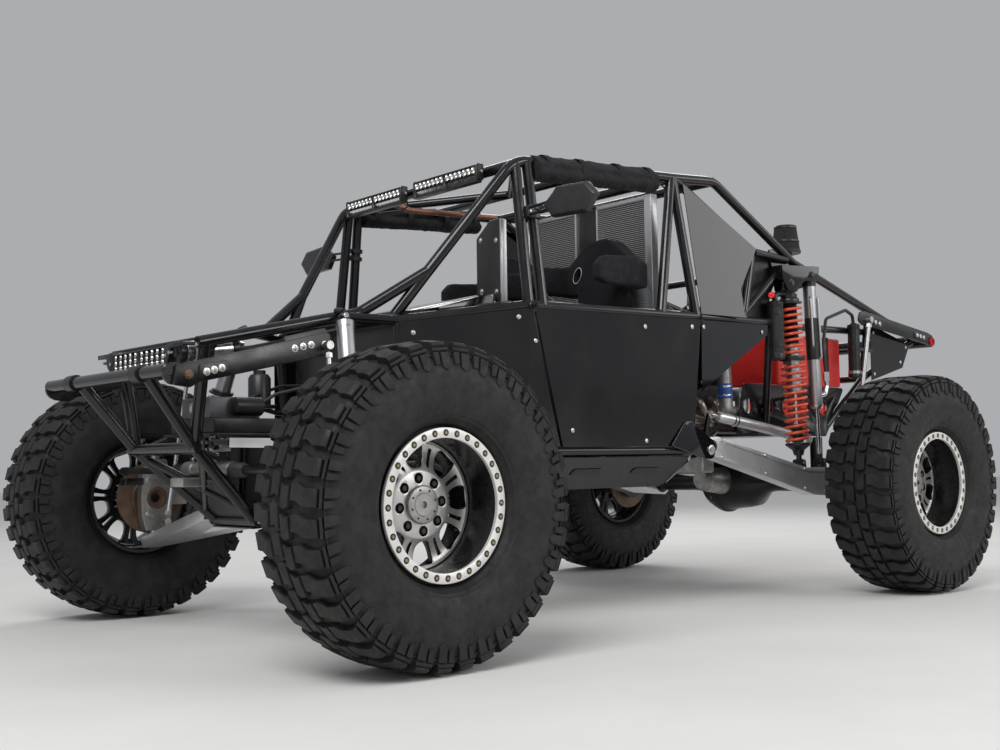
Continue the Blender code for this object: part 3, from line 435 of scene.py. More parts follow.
def plain(name, rgb, rough, metal=0.0, mottle=0.25, scale=30.0, grain=300.0, depth=0.0001, **extra):
    """A finish with a little variation of tone and a fine grain."""
    f = Finish(name, rgb, rough, metal, **extra)
    tone = f.noise(scale, 4.0, 0.6)
    f.to("Base Color", f.ramp(tone, 0.35, 0.75, rgb, tuple(min(1.0, c * (1 + mottle) + 0.004) for c in rgb)))
    f.to("Roughness", f.ramp(tone, 0.3, 0.75, max(0.02, rough - 0.05), min(1.0, rough + 0.1)))
    return f.bump(f.noise(grain, 2.0), depth, 0.6).mat


def tyre_rubber():
    f = Finish("tyre_rubber", (0.026, 0.025, 0.024), 0.72, Specular_IOR_Level=0.35)
    dust = f.noise(16.0, 6.0, 0.65)
    f.to("Base Color", f.ramp(dust, 0.4, 0.72, (0.009, 0.009, 0.0095), (0.025, 0.0235, 0.0215)))
    f.to("Roughness", f.ramp(f.noise(40.0, 3.0), 0.3, 0.7, 0.5, 0.74))
    f.bump(f.noise(130.0, 4.0, 0.6), 0.0006, 0.5)
    return f.bump(f.noise(900.0, 2.0), 0.00012, 0.6).mat


def fabric(name, rgb, scale=650.0, rough=0.9):
    f = Finish(name, rgb, rough, Sheen_Weight=0.04, Sheen_Roughness=0.5, Specular_IOR_Level=0.25)
    warp = f.wave(scale, "X", 0.6)
    weft = f.wave(scale, "Z", 0.6)
    cloth = f.combined(warp, weft, "MAXIMUM")
    tone = f.combined(f.noise(18.0, 4.0), cloth, "MULTIPLY")
    f.to("Base Color", f.ramp(tone, 0.1, 0.6, tuple(0.6 * c for c in rgb), tuple(1.35 * c + 0.004 for c in rgb)))
    return f.bump(cloth, 0.0004, 0.6).mat


TUBE = powder_coat()
PANEL = panel_gloss()
SATIN = satin_black()
SKID = satin_black("skid_black", 0.3)
RUBBER = tyre_rubber()
ALLOY = machined("machined_alloy", metal=0.75)
BRIGHT = plain("bright_steel", (0.6, 0.6, 0.61), 0.26, 1.0, 0.1)
ZINC = plain("zinc_steel", (0.62, 0.61, 0.58), 0.3, 1.0, 0.15)
BRASS_BOLT = plain("bronze_bolt", (0.3, 0.25, 0.14), 0.36, 0.8, 0.2)
CAST = cast_alloy()
RED_COIL = plain("coil_red", (0.62, 0.07, 0.025), 0.34, 0.0, 0.15, Coat_Weight=0.4, Coat_Roughness=0.15)
BLACK_COIL = plain("coil_black", (0.016, 0.016, 0.017), 0.3, 0.0, 0.3)
RED_TANK = plain("tank_red", (0.85, 0.035, 0.028), 0.36, 0.0, 0.2, 8.0, 180.0, 0.0004)
ENGINE_METAL = plain("engine_casting", (0.13, 0.13, 0.135), 0.45, 0.9, 0.5, 18.0, 260.0, 0.0006)
RUSTY = plain("worn_rotor", (0.12, 0.078, 0.054), 0.52, 0.6, 0.8, 26.0, 300.0, 0.0003)
DASH = plain("dash_black", (0.02, 0.02, 0.021), 0.5, 0.0, 0.4, 20.0, 700.0, 0.0002)
GLOVE_BLACK = plain("hard_black_plastic", (0.016, 0.016, 0.017), 0.32, 0.0, 0.4, 24.0, 600.0, 0.0001)
SEAT_CLOTH = fabric("seat_cloth", (0.013, 0.013, 0.0155))
NET_CLOTH = fabric("net_webbing", (0.012, 0.012, 0.0135), 420.0, 0.85)
HOSE = plain("black_hose", (0.018, 0.018, 0.019), 0.55, 0.0, 0.3)

nodes = frame["nodes"]


def dress(material, *starts):
    """CAD nodes whose shape stays get their finish."""
    for name, obj in nodes.items():
        if name.startswith(starts):
            obj.data.materials.clear()
            obj.data.materials.append(material)


dress(TUBE, "frame_", "sway_bar")
dress(PANEL, "door_panel", "quarter_panel", "upper_panel", "cowl_panel", "tail_panel")
dress(SKID, "belly_skid", "rear_skid", "floor_pan")
dress(ALLOY, "lower_arm", "upper_arm", "trailing_arm", "upper_link", "wheel_", "nose_reservoir", "bypass_rear")
dress(RUBBER, "tyre_")
dress(RED_COIL, "coilover_rear")
dress(CAST, "knuckle_", "coilover_front", "charge_pipe", "radiator")
dress(SATIN, "rear_axle", "intake", "nose_light_bar", "roof_light_bars", "mirror_", "steering_rod")
dress(DASH, "dash")
dress(ENGINE_METAL, "engine")
dress(RED_TANK, "fuel_cell")
dress(SEAT_CLOTH, "seat_")
dress(NET_CLOTH, "net_roll")

# Tyres: an outer envelope and a carcass, both named by the way outwards from the middle of the tread

TYRE_R = 0.506
PITCHES = 36
# How deep a tread block's foot goes below the carcass, as a share of its height, and how much its top narrows
TREAD_FOOT, TREAD_DRAFT = -0.12, 0.93
# Where a tread block is cut to follow the tyre's bend, as ways out from the middle
TREAD_CUTS = (0.08, 0.12, 0.15, 0.165, 0.185, 0.205, 0.225, 0.245)
TOP_LINE = [
    (0.0, 0.0, 0.5058), (0.08, 0.08, 0.5052), (0.15, 0.15, 0.4965), (0.165, 0.1625, 0.489), (0.185, 0.169, 0.47),
    (0.225, 0.1735, 0.43), (0.262, 0.1752, 0.394)
]
BASE_LINE = [
    (0.0, 0.0, 0.4885), (0.08, 0.0795, 0.4872), (0.15, 0.14, 0.477), (0.165, 0.15, 0.47), (0.185, 0.158, 0.457),
    (0.225, 0.1662, 0.429), (0.262, 0.1735, 0.393)
]
SIDEWALL = [
    (0.1738, 0.372), (0.173, 0.345), (0.1695, 0.318), (0.163, 0.294), (0.1555, 0.276), (0.153, 0.2745),
    (0.148, 0.264), (0.144, 0.263), (0.133, 0.252), (0.118, 0.245), (0.1085, 0.24), (0.1079, 0.231)
]


def on_line(line, way):
    for (a, s0, r0), (b, s1, r1) in zip(line, line[1:]):
        if way <= b:
            t = (way - a) / (b - a)
            return s0 + (s1 - s0) * t, r0 + (r1 - r0) * t
    return line[-1][1:]


def wrap(obj):
    """Lays a flat block (way out, way round, height 0 to 1) on the tyre."""
    for v in obj.data.vertices:
        way, round_, h = v.co
        s0, r0 = on_line(BASE_LINE, abs(way))
        s1, r1 = on_line(TOP_LINE, abs(way))
        s, r = s0 + (s1 - s0) * h, r0 + (r1 - r0) * h
        a = round_ / TYRE_R
        v.co = (math.copysign(s, way), r * math.sin(a), r * math.cos(a))
    return obj


def tread_block(outline, turned_round=False, shift=0.0, edge=0.0022):
    """A tread block: its outline is pulled up with a little draft, cut where the tyre bends, wrapped, rounded."""
    if turned_round:
        outline = [(-x, -y) for x, y in outline]
    points = [Vector((x, y + shift, TREAD_FOOT)) for x, y in outline]
    obj = draw(points, closed=True)
    pull((0, 0, 1 - TREAD_FOOT))
    middle = sum(points, Vector()) / len(points)
    bpy.ops.transform.resize(value=(TREAD_DRAFT, TREAD_DRAFT, 1), center_override=(middle.x, middle.y, 1))
    bpy.ops.mesh.select_all(action="SELECT")
    bpy.ops.mesh.normals_make_consistent(inside=False)
    reach = [p.x for p in points]
    for cut in TREAD_CUTS:
        for side in (1, -1):
            if min(reach) < side * cut < max(reach):
                bpy.ops.mesh.select_all(action="SELECT")
                bpy.ops.mesh.bisect(plane_co=(side * cut, 0, 0), plane_no=ACROSS)
    bpy.ops.object.mode_set(mode="OBJECT")
    wrap(obj)
    return smooth(soften(obj, edge, 2 if edge > 0.0015 else 1, 30), 20)


SHOULDER_LUG = [
    (0.172, -0.028), (0.172, 0.028), (0.118, 0.03), (0.088, 0.046), (0.058, 0.043), (0.056, -0.008), (0.085, -0.01),
    (0.116, -0.027)
]
CENTRE_LUG = [(0.004, -0.024), (0.02, -0.036), (0.048, -0.03), (0.048, 0.04), (0.028, 0.034), (0.004, 0.046)]
SIDE_SHORT = [(0.189, -0.033), (0.189, -0.007), (0.228, -0.005), (0.232, -0.026)]
SIDE_LONG = [(0.189, -0.001), (0.189, 0.036), (0.236, 0.04), (0.25, 0.026), (0.238, 0.003)]
SIDE_STEP = [(0.1755, -0.033), (0.1755, 0.036), (0.1845, 0.036), (0.1845, -0.033)]


def make_tyre():
    half = 2 * math.pi * TYRE_R / PITCHES / 2
    blocks = [
        tread_block(SHOULDER_LUG), tread_block(SHOULDER_LUG, True, half),
        tread_block(CENTRE_LUG), tread_block(CENTRE_LUG, True, half),
    ]
    for outline, edge in ((SIDE_SHORT, 0.0012), (SIDE_LONG, 0.0012), (SIDE_STEP, 0.001)):
        blocks += [tread_block(outline, edge=edge), tread_block(outline, True, half, edge=edge)]
    pitch = join("tread_pitch", blocks)
    turns = [moved(pitch, Matrix.Rotation(2 * math.pi * k / PITCHES, 4, "X")) for k in range(1, PITCHES)]
    tread = join("tread", [pitch] + turns)
    outer = [(s, r) for _, s, r in BASE_LINE] + SIDEWALL
    profile = [(-s, r) for s, r in reversed(outer)] + outer[1:]
    rib_low, rib_high = on_line(BASE_LINE, 0.184), on_line(BASE_LINE, 0.19)
    carcass = turn("carcass", ORIGIN, ACROSS, profile + [profile[0]], 96)
    ribs = []
    for side in (1, -1):
        ring = [
            (side * (rib_low[0] - 0.002), rib_low[1]), (side * (rib_low[0] + 0.005), rib_low[1]),
            (side * (rib_high[0] + 0.005), rib_high[1]), (side * (rib_high[0] - 0.002), rib_high[1])
        ]
        ribs.append(turn("rib", ORIGIN, ACROSS, ring + [ring[0]], 96))
    return named(join("tyre", [tread, carcass] + ribs), "tyre", RUBBER)


# Wheels, modelled with their outer face towards +X

BARREL = [
    (0.1205, 0.2045), (0.06, 0.204), (-0.012, 0.2045), (-0.034, 0.206), (-0.115, 0.214), (-0.1275, 0.223),
    (-0.1275, 0.235), (-0.117, 0.235),
    (-0.1165, 0.229), (-0.1, 0.222), (0.1, 0.222), (0.108, 0.23), (0.1205, 0.23), (0.1205, 0.2045),
]
RING = [
    (0.121, 0.205), (0.121, 0.2345), (0.132, 0.236), (0.134, 0.2353), (0.135, 0.2335), (0.135, 0.2065),
    (0.134, 0.2045), (0.132, 0.2035), (0.121, 0.205),
]
CENTRE = [
    (-0.034, 0.05), (0.005, 0.05), (0.0065, 0.052), (0.0065, 0.102), (0.004, 0.108), (-0.008, 0.133),
    (-0.012, 0.16), (-0.011, 0.185),
    (-0.007, 0.192), (-0.007, 0.201), (-0.009, 0.203), (-0.034, 0.203), (-0.034, 0.05),
]
HUB_CAP = [
    (-0.032, 0.0), (-0.032, 0.048), (0.006, 0.048), (0.006, 0.06), (0.018, 0.06), (0.02, 0.0585),
    (0.0215, 0.056), (0.0215, 0.037),
    (0.0235, 0.035), (0.0235, 0.011), (0.013, 0.01), (0.013, 0.0),
]
ROTOR = [
    (-0.2107, 0.0), (-0.2107, 0.055), (-0.2, 0.056), (-0.2, 0.08), (-0.198, 0.082), (-0.198, 0.148),
    (-0.186, 0.148), (-0.186, 0.082), (-0.17, 0.08),
    (-0.168, 0.062), (-0.0345, 0.062), (-0.0345, 0.0),
]
RING_BOLTS = 32
SPOKES = 8


def spoke_cutter(outline):
    """A prism through the wheel centre with rounded corners; the outline is (radius, half width)."""
    points = [Vector((-0.05, y, r)) for r, y in outline] + [Vector((-0.05, -y, r)) for r, y in reversed(outline)]
    obj = draw(points, closed=True)
    pull((0.08, 0, 0))
    tidy_mesh()
    return obj


def round_bar_edges(obj, width):
    """Rounds the edges that run along X."""
    edit(obj)
    bpy.ops.mesh.select_mode(type="EDGE")
    mesh = bmesh.from_edit_mesh(obj.data)
    for e in mesh.edges:
        way = e.verts[1].co - e.verts[0].co
        e.select = abs(way.x) > 0.9 * way.length
    bmesh.update_edit_mesh(obj.data)
    bpy.ops.mesh.bevel(offset=width, segments=4, affect="EDGES")
    bpy.ops.mesh.select_mode(type="VERT")
    bpy.ops.object.mode_set(mode="OBJECT")
    return obj


def cut_with(obj, cutters):
    cutter = join("cutter", cutters)
    use(obj, "BOOLEAN", operation="DIFFERENCE", solver="EXACT", object=cutter)
    bpy.data.objects.remove(cutter)
    return obj


def around(obj, count, offset=0.0):
    """Copies of a thing set evenly round the X axis; the original goes."""
    twins = [moved(obj, Matrix.Rotation(2 * math.pi * (k + offset) / count, 4, "X")) for k in range(count)]
    bpy.data.objects.remove(obj)
    return twins


def hex_head(radius, height, material):
    """A hexagon bolt head on a washer, standing on the origin along +X."""
    head = turn(
        "hex", ORIGIN, ACROSS, [(0, 0), (0, radius), (height * 0.8, radius), (height, radius * 0.86), (height, 0)], 6,
        material
    )
    washer = turn(
        "washer", ORIGIN, ACROSS,
        [
            (0, 0), (0, radius * 1.25), (height * 0.18, radius * 1.25), (height * 0.22, radius * 1.15),
            (height * 0.22, 0)
        ],
        20, material
    )
    return join("bolt", [head, washer])


def make_wheel():
    barrel = turn("barrel", ORIGIN, ACROSS, BARREL, 96, BARREL_BLACK)
    ring = turn("ring", ORIGIN, ACROSS, RING, 128, RING_ALLOY)
    pocket = turn("pocket", (0.1325, 0, 0.2195), ACROSS, rod(0.01, 0.0108), 20)
    cut_with(ring, around(pocket, RING_BOLTS, 0.5))
    smooth(ring)
    # A thin black disc under each bolt fills its pocket in the ring: painted shade in the pocket.
    shade = turn("shade", ORIGIN, ACROSS, rod(0.0016, 0.0106), 20, HOSE)
    bolt = join("bolt", [hex_head(0.006, 0.0052, BRASS_BOLT), shade])
    bolt.data.transform(Matrix.Translation((0.1312, 0, 0.2195)))
    bolts = join("ring_bolts", around(bolt, RING_BOLTS, 0.5))
    centre = turn("centre", ORIGIN, ACROSS, CENTRE, 96, CENTRE_ALLOY)
    window = round_bar_edges(spoke_cutter([(0.114, 0.02), (0.146, 0.035), (0.19, 0.0405)]), 0.0135)
    slot_hole = round_bar_edges(spoke_cutter([(0.119, 0.005), (0.181, 0.0068)]), 0.0048)
    seat = turn(
        "lug_seat", (0, 0, 0.0825), ACROSS, [(-0.05, 0), (-0.05, 0.0158), (-0.002, 0.0164), (0.03, 0.019), (0.03, 0)],
        24
    )
    cutters = around(window, SPOKES) + around(slot_hole, SPOKES, 0.5) + around(seat, SPOKES)
    cut_with(centre, cutters)
    soften(centre, 0.0012, 2, 40)
    smooth(centre, 28)
    centre.data.materials.append(BARREL_BLACK)
    for face in centre.data.polygons:
        if face.normal.x < 0.45 and math.hypot(face.center.y, face.center.z) < 0.196:
            face.material_index = 1
    nut = hex_head(0.0105, 0.02, GLOVE_BLACK)
    nut.data.transform(Matrix.Translation((-0.011, 0, 0.0825)))
    nuts = join("lug_nuts", around(nut, SPOKES))
    cap = turn("hub_cap", ORIGIN, ACROSS, HUB_CAP, 64, HUB_GREY)
    screw = hex_head(0.0032, 0.0022, GLOVE_BLACK)
    screw.data.transform(Matrix.Translation((0.0214, 0, 0.0465)))
    screws = join("cap_screws", around(screw, 8, 0.25))
    rotor = turn("rotor", ORIGIN, ACROSS, ROTOR, 64, RUSTY)
    valve = bar("valve", [(0.0, 0.0, 0.196), (0.03, 0.0, 0.19), (0.052, 0.0, 0.188)], 0.0045, 0.01, 10, BRIGHT)
    return {
        "barrel": barrel, "ring": ring, "ring_bolts": bolts, "centre": centre, "lug_nuts": nuts, "hub_cap": cap,
        "cap_screws": screws, "rotor": rotor, "valve": valve
    }


BARREL_BLACK = plain("barrel_black", (0.007, 0.007, 0.0075), 0.26, 0.0, 0.3, Specular_IOR_Level=0.35)
RING_ALLOY = machined("ring_alloy", (0.84, 0.825, 0.8), 0.4, 700.0, (1.0, 1.0, 1.0), 0.4)
CENTRE_ALLOY = machined("centre_alloy", (0.66, 0.645, 0.625), 0.36, 700.0, (1.0, 1.0, 0.06), 0.75)
HUB_GREY = plain("hub_cap_grey", (0.34, 0.33, 0.32), 0.42, 0.9, 0.4, 34.0, 500.0, 0.0002)

WHEELS = [
    # name, side, half track, distance behind the front axle, turn of the rim
    ("front_left", 1, HALF_TRACK_F, 0.0, 0.1),
    ("front_right", -1, HALF_TRACK_F, 0.0, 0.3),
    ("rear_left", 1, HALF_TRACK_R, WHEELBASE, 0.5),
    ("rear_right", -1, HALF_TRACK_R, WHEELBASE, 0.2),
]
tyre_model = make_tyre()
rim_model = make_wheel()
for corner, side, half_track, y, spin in WHEELS:
    spot = Matrix.Translation(at((
        side * half_track, y, TYRE_R
    ))) @ Matrix.Scale(side, 4, ACROSS) @ Matrix.Rotation(spin, 4, "X")
    body = f"rolling_{corner}"
    wear(moved(tyre_model, spot, f"mud_tyre_{corner}"), body, "tyre_rubber", f"tyre_{corner}")
    for part_name, model in rim_model.items():
        replaced = [f"wheel_{corner}"] if part_name in ("barrel", "ring", "centre", "rotor", "hub_cap") else []
        wear(moved(model, spot, f"{part_name}_{corner}"), body, "wheel_alloy", *replaced)
for model in [tyre_model, *rim_model.values()]:
    bpy.data.objects.remove(model)


def rounded(outline, radius, steps=5):
    """A flat outline with its corners rounded; a corner may carry its own radius as a third number."""
    made = []
    for i, corner in enumerate(outline):
        p = Vector(corner[:2])
        a = Vector(outline[i - 1][:2]) - p
        b = Vector(outline[(i + 1) % len(outline)][:2]) - p
        reach = corner[2] if len(corner) > 2 else radius
        cut = min(reach / math.tan(a.angle(b) / 2), a.length * 0.48, b.length * 0.48)
        if cut < 1e-5:
            made.append(tuple(p))
            continue
        start, end = p + a.normalized() * cut, p + b.normalized() * cut
        for k in range(steps + 1):
            t = k / steps
            made.append(tuple((1 - t) ** 2 * start + 2 * t * (1 - t) * p + t * t * end))
    return made


def side_plate(name, x, outline, thick, material, edge=0.0008, radius=0.0):
    """A plate standing along the car: an outline of (distance behind the axle, height) at a half width."""
    corners = rounded(outline, radius) if radius else outline
    return plate(name, [at((x, y, z)) for y, z in corners], (thick, 0, 0), material, edge)


def sided(piece, body, slot, *starts):
    """The left piece and its mirror image, each on its own side's body and for its own side's nodes."""
    name = piece.name
    twin = mirror_x(piece, f"{name}_right")
    for obj, word in ((piece, "left"), (twin, "right")):
        stands_for = [f"{start}_{word}" if f"{start}_{word}" in nodes else start for start in starts]
        wear(named(obj, f"{name}_{word}"), body.format(word), slot, *stands_for)


def set_out(name, model, spots):
    """Copies of a small thing that stands on the origin along +Z, one at each (place, axis), joined."""
    made = [moved(model, facing(at(place), axis)) for place, axis in spots]
    bpy.data.objects.remove(model)
    return join(name, made)


def outwards(x, *spots):
    """Places of screws that look outwards at a half width, each with its axis."""
    return [((x, y, z), ACROSS) for y, z in spots]


def pair(name, pieces, slot, *starts):
    """Pieces of the chassis, joined on the left and mirrored to the right."""
    sided(join(name, pieces), "chassis", slot, *starts)


def whole(name, pieces, slot, *stands_for):
    """Pieces of the chassis, joined into one."""
    wear(join(name, pieces), "chassis", slot, *stands_for)


def button_head(radius, material):
    """A round screw head with a hexagon socket, on a washer."""
    outline = [
        (0, 0), (0, 1.5), (0.22, 1.5), (0.26, 1.05), (0.5, 0.95), (0.72, 0.66), (0.76, 0.42), (0.72, 0.36),
        (0.3, 0.34), (0.3, 0)
    ]
    return turn("button", ORIGIN, UP, [(s * radius, r * radius) for s, r in outline], 18, material)


def hex_bolt(radius, material):
    """A hexagon head on a washer."""
    head = turn("hex", ORIGIN, UP, [(0.1, 0), (0.1, 1.0), (0.62, 1.0), (0.72, 0.86), (0.72, 0)], 6, material)
    washer = turn("washer", ORIGIN, UP, [(0, 0), (0, 1.35), (0.16, 1.35), (0.2, 1.25), (0.2, 0)], 20, material)
    bolt = join("bolt", [head, washer])
    bolt.data.transform(Matrix.Scale(radius, 4))
    return bolt


def spring(name, first, last, radius, wire, turns, material, sides=10, steps=22):
    """A coil spring round the Z axis between two heights, its ends closed."""
    put_down()
    bpy.ops.mesh.primitive_circle_add(
        vertices=sides, radius=wire, location=(radius, 0, first + wire), rotation=(math.pi / 2, 0, 0)
    )
    obj = lay_flat()
    use(
        obj, "SCREW", axis="Z", angle=2 * math.pi, screw_offset=(last - first - 2 * wire) / turns, iterations=turns,
        steps=steps, render_steps=steps
    )
    edit(obj)
    bpy.ops.mesh.select_all(action="SELECT")
    bpy.ops.mesh.fill_holes(sides=0)
    tidy_mesh()
    return smooth(named(obj, name, material), 60)


# Frame tubes, bent and welded

MAIN, RAIL, THIN = 0.0215, 0.0187, 0.0148
ROOF_F, ROOF_R, ROOF_BEND = (0.575, 0.836, 1.812), (0.575, 1.78, 1.877), (0.55, 2.098, 1.911)
TOWER, TAIL = (0.545, 2.715, 1.59), (0.47, 3.96, 1.285)
PILLAR_KNEE, HOOD_BEND, HOOD_NOSE = (0.442, 0.507, 1.361), (0.328, 0.264, 1.193), (0.33, -0.39, 1.05)
SILL_F, SILL_R, COWL_F = (0.65, 0.832, 1.231), (0.65, 1.829, 1.253), (0.42, 0.38, 1.165)
NOSE_LOW, BELLY_NOSE, SWAY_F = (0.229, -0.347, 0.698), (0.139, -0.062, 0.434), (0.488, -0.568, 0.941)
SILL_LOW_F, SILL_LOW_R, QUARTER_R = (0.615, 0.985, 0.67), (0.615, 1.8, 0.67), (0.565, 2.48, 1.278)
CRADLE_F, CRADLE_R, TAIL_LOW = (0.36, 2.3, 0.77), (0.36, 3.2, 0.77), (0.45, 3.45, 1.05)
BELLY_F, BELLY_R = (0.48, 1.13, 0.545), (0.48, 1.78, 0.545)
RAIL_JOINT, CRADLE_JOINT, DOWN_BAR = (0.36, 0.75, 0.495), (0.44, 2.0, 0.64), (0.585, 2.33, 1.605)
COWL_BAR, MIDDLE = (0.372, 0.398, 1.19), (0.0, 1.34, 1.847)
# Where the bend of the roof rail lies nearest its corner
ROOF_ARC = (0.571, 0.8435, 1.7985)

FRAMES = {
    # tube radius, radius of its bends, path, whether the other side has one too
    "frame_cab": [
        (MAIN, 0.14, [TOWER, ROOF_BEND, ROOF_R, ROOF_F, PILLAR_KNEE, COWL_BAR], True),
        (MAIN, 0.05, [ROOF_ARC, SILL_F, SILL_LOW_F], True),
        (MAIN, 0.0, [(0.578, 0.9, 1.816), (0.65, 0.905, 1.233)], True),
        (MAIN, 0.05, [ROOF_R, SILL_R, SILL_LOW_R], True),
        (MAIN, 0.0, [(0.578, 1.765, 1.87), (0.648, 1.6, 1.248)], True),
        (MAIN, 0.03, [COWL_F, SILL_F, SILL_R, QUARTER_R], True),
        (MAIN, 0.0, [SILL_LOW_F, SILL_LOW_R], True),
        (MAIN, 0.09, [(0.329, -0.22, 1.0872), HOOD_BEND, PILLAR_KNEE], True),
        (MAIN, 0.0, [ROOF_ARC, flip(ROOF_ARC)], False),
        (MAIN, 0.0, [ROOF_R, flip(ROOF_R)], False),
        (MAIN, 0.0, [ROOF_BEND, flip(ROOF_BEND)], False),
        (RAIL, 0.03, [ROOF_ARC, MIDDLE, flip(ROOF_ARC)], False),
        (RAIL, 0.0, [(0.575, 1.34, 1.847), (-0.575, 1.34, 1.847)], False),
        (RAIL, 0.0, [COWL_BAR, flip(COWL_BAR)], False),
        (RAIL, 0.0, [COWL_F, (0.329, 0.18, 1.175)], True),
        (RAIL, 0.0, [COWL_F, COWL_BAR], True),
        (RAIL, 0.03, [COWL_F, (0.4, 0.4, 0.69), SILL_LOW_F], True),
        (RAIL, 0.0, [SILL_R, flip(SILL_R)], False),
        (RAIL, 0.03, [SILL_LOW_F, BELLY_F, BELLY_R, SILL_LOW_R], True),
        (RAIL, 0.0, [BELLY_F, flip(BELLY_F)], False),
        (RAIL, 0.0, [BELLY_R, flip(BELLY_R)], False),
        (RAIL, 0.0, [BELLY_F, RAIL_JOINT], True),
        (RAIL, 0.0, [(0.398, 0.872, 0.511), (0.4, 0.4, 0.69)], True),
        (RAIL, 0.0, [SILL_LOW_R, CRADLE_JOINT], True),
        (RAIL, 0.0, [BELLY_R, CRADLE_JOINT], True),
        (RAIL, 0.05, [ROOF_R, DOWN_BAR, between(SILL_R, QUARTER_R, 0.62)], True),
    ],
    "frame_nose": [
        (MAIN, 0.0, [(0.329, -0.2203, 1.0871), HOOD_NOSE], True),
        (MAIN, 0.0, [NOSE_LOW, (0.329, -0.36, 1.056)], True),
        (MAIN, 0.0, [NOSE_LOW, (0.27, -0.55, 0.95)], True),
        (MAIN, 0.0, [(0.262, -0.347, 0.698), (-0.262, -0.347, 0.698)], False),
        (MAIN, 0.0, [NOSE_LOW, BELLY_NOSE], True),
        (MAIN, 0.0, [(0.165, -0.062, 0.434), (-0.165, -0.062, 0.434)], False),
        (THIN, 0.0, [between(NOSE_LOW, BELLY_NOSE, 0.12), between(flip(NOSE_LOW), flip(BELLY_NOSE), 0.85)], True),
        (RAIL, 0.08, [BELLY_NOSE, (0.3, 0.52, 0.472), RAIL_JOINT], True),
        (RAIL, 0.0, [(0.3, 0.52, 0.472), (-0.3, 0.52, 0.472)], False),
    ],
    "frame_rear": [
        (MAIN, 0.0, [TOWER, TAIL], True),
        (MAIN, 0.0, [TAIL, flip(TAIL)], False),
        (RAIL, 0.0, [(0.53, 2.76, 1.58), (-0.53, 2.76, 1.58)], False),
        (RAIL, 0.03, [QUARTER_R, (0.44, 2.64, 1.29), (0.46, 3.45, 1.3)], True),
        (RAIL, 0.0, [QUARTER_R, (0.36, 2.7, 0.77)], True),
        (RAIL, 0.0, [(0.501, 3.45, 1.409), TAIL_LOW], True),
        (RAIL, 0.0, [TAIL_LOW, TAIL], True),
        (RAIL, 0.0, [TAIL_LOW, flip(TAIL_LOW)], False),
        (RAIL, 0.06, [CRADLE_JOINT, CRADLE_F, CRADLE_R, TAIL_LOW], True),
        (RAIL, 0.0, [CRADLE_R, flip(CRADLE_R)], False),
        (RAIL, 0.0, [(0.584, 2.345, 1.603), (0.549, 2.65, 1.598)], True),
        (THIN, 0.0, [(0.604, 2.2, 1.278), (0.575, 2.548, 1.532)], True),
    ],
}
for node, tubes in FRAMES.items():
    made = []
    for radius, bend, path, paired in tubes:
        for way in both(path) if paired else [path]:
            made.append(bar("tube", places(*way), radius, bend, 20, TUBE))
    wear(join(f"{node}_tubes", made), "chassis", "frame_tube", node)

# Welded brackets: link pockets, shock towers, gussets at the sill and infill sheets
LINK_NOSE = [
    (1.64, 0.69, 0.008), (1.734, 0.794, 0.014), (1.775, 0.797, 0.02), (1.935, 0.706, 0.04), (1.93, 0.632, 0.04),
    (1.86, 0.634, 0.01)
]
link_pocket = [
    side_plate("pocket_skin", 0.649, LINK_NOSE, 0.005, PANEL, 0.0012, 0.012),
    side_plate(
        "pocket_wall", 0.629, [(1.845, 0.64), (1.845, 0.74), (1.93, 0.7, 0.035), (1.926, 0.642, 0.035)], 0.0205,
        PANEL, 0.0012, 0.008
    ),
    side_plate(
        "pocket_inner", 0.538,
        [(1.76, 0.7), (1.83, 0.79), (1.955, 0.712, 0.045), (1.955, 0.638, 0.045), (1.78, 0.64)], 0.006, PANEL, 0.0012,
        0.012
    ),
]
pair("link_pocket", link_pocket, "frame_tube")
TOWER_OUT = [
    (2.512, 1.552, 0.004), (2.822, 1.572, 0.004), (2.806, 1.5, 0.012), (2.69, 1.492, 0.02), (2.64, 1.446, 0.012),
    (2.628, 1.432, 0.02), (2.56, 1.432, 0.02), (2.518, 1.486, 0.02)
]
TOWER_IN = [
    (2.512, 1.64, 0.01), (2.64, 1.65, 0.01), (2.86, 1.545, 0.02), (2.806, 1.48, 0.012), (2.628, 1.432, 0.02),
    (2.56, 1.432, 0.02)
]
tower = [
    side_plate("tower_outer", 0.618, TOWER_OUT, 0.006, PANEL, 0.001, 0.01),
    side_plate("tower_inner", 0.543, TOWER_IN, 0.006, PANEL, 0.001, 0.01),
    plate(
        "tower_top", places((0.549, 2.512, 1.549), (0.62, 2.512, 1.549), (0.62, 2.822, 1.569), (0.549, 2.822, 1.569)),
        (0, 0, 0.005), PANEL, 0.001
    ),
    plate(
        "tower_front",
        places((0.549, 2.512, 1.549), (0.62, 2.512, 1.549), (0.62, 2.518, 1.486), (0.549, 2.518, 1.486)),
        (0, 0.005, 0), PANEL, 0.001
    ),
]
pair("shock_tower", tower, "frame_tube")
shock_screws = [((0.6235, 2.584, 1.472), ACROSS), ((0.6235, 2.752, 1.527), ACROSS), ((0.654, 1.906, 0.672), ACROSS)]
sided(set_out("mount_bolts", hex_bolt(0.0145, GLOVE_BLACK), shock_screws[:2]), "chassis", "frame_tube")
sided(set_out("link_bolt", hex_bolt(0.0165, ZINC), shock_screws[2:]), "chassis", "frame_tube")
guard = side_plate(
    "shock_guard", 0.535, [(2.215, 1.29), (2.215, 1.44), (2.35, 1.6), (2.64, 1.59), (2.53, 1.42), (2.5, 1.29)], 0.003,
    SATIN, 0.0, 0.0
)
sided(guard, "chassis", "frame_tube")


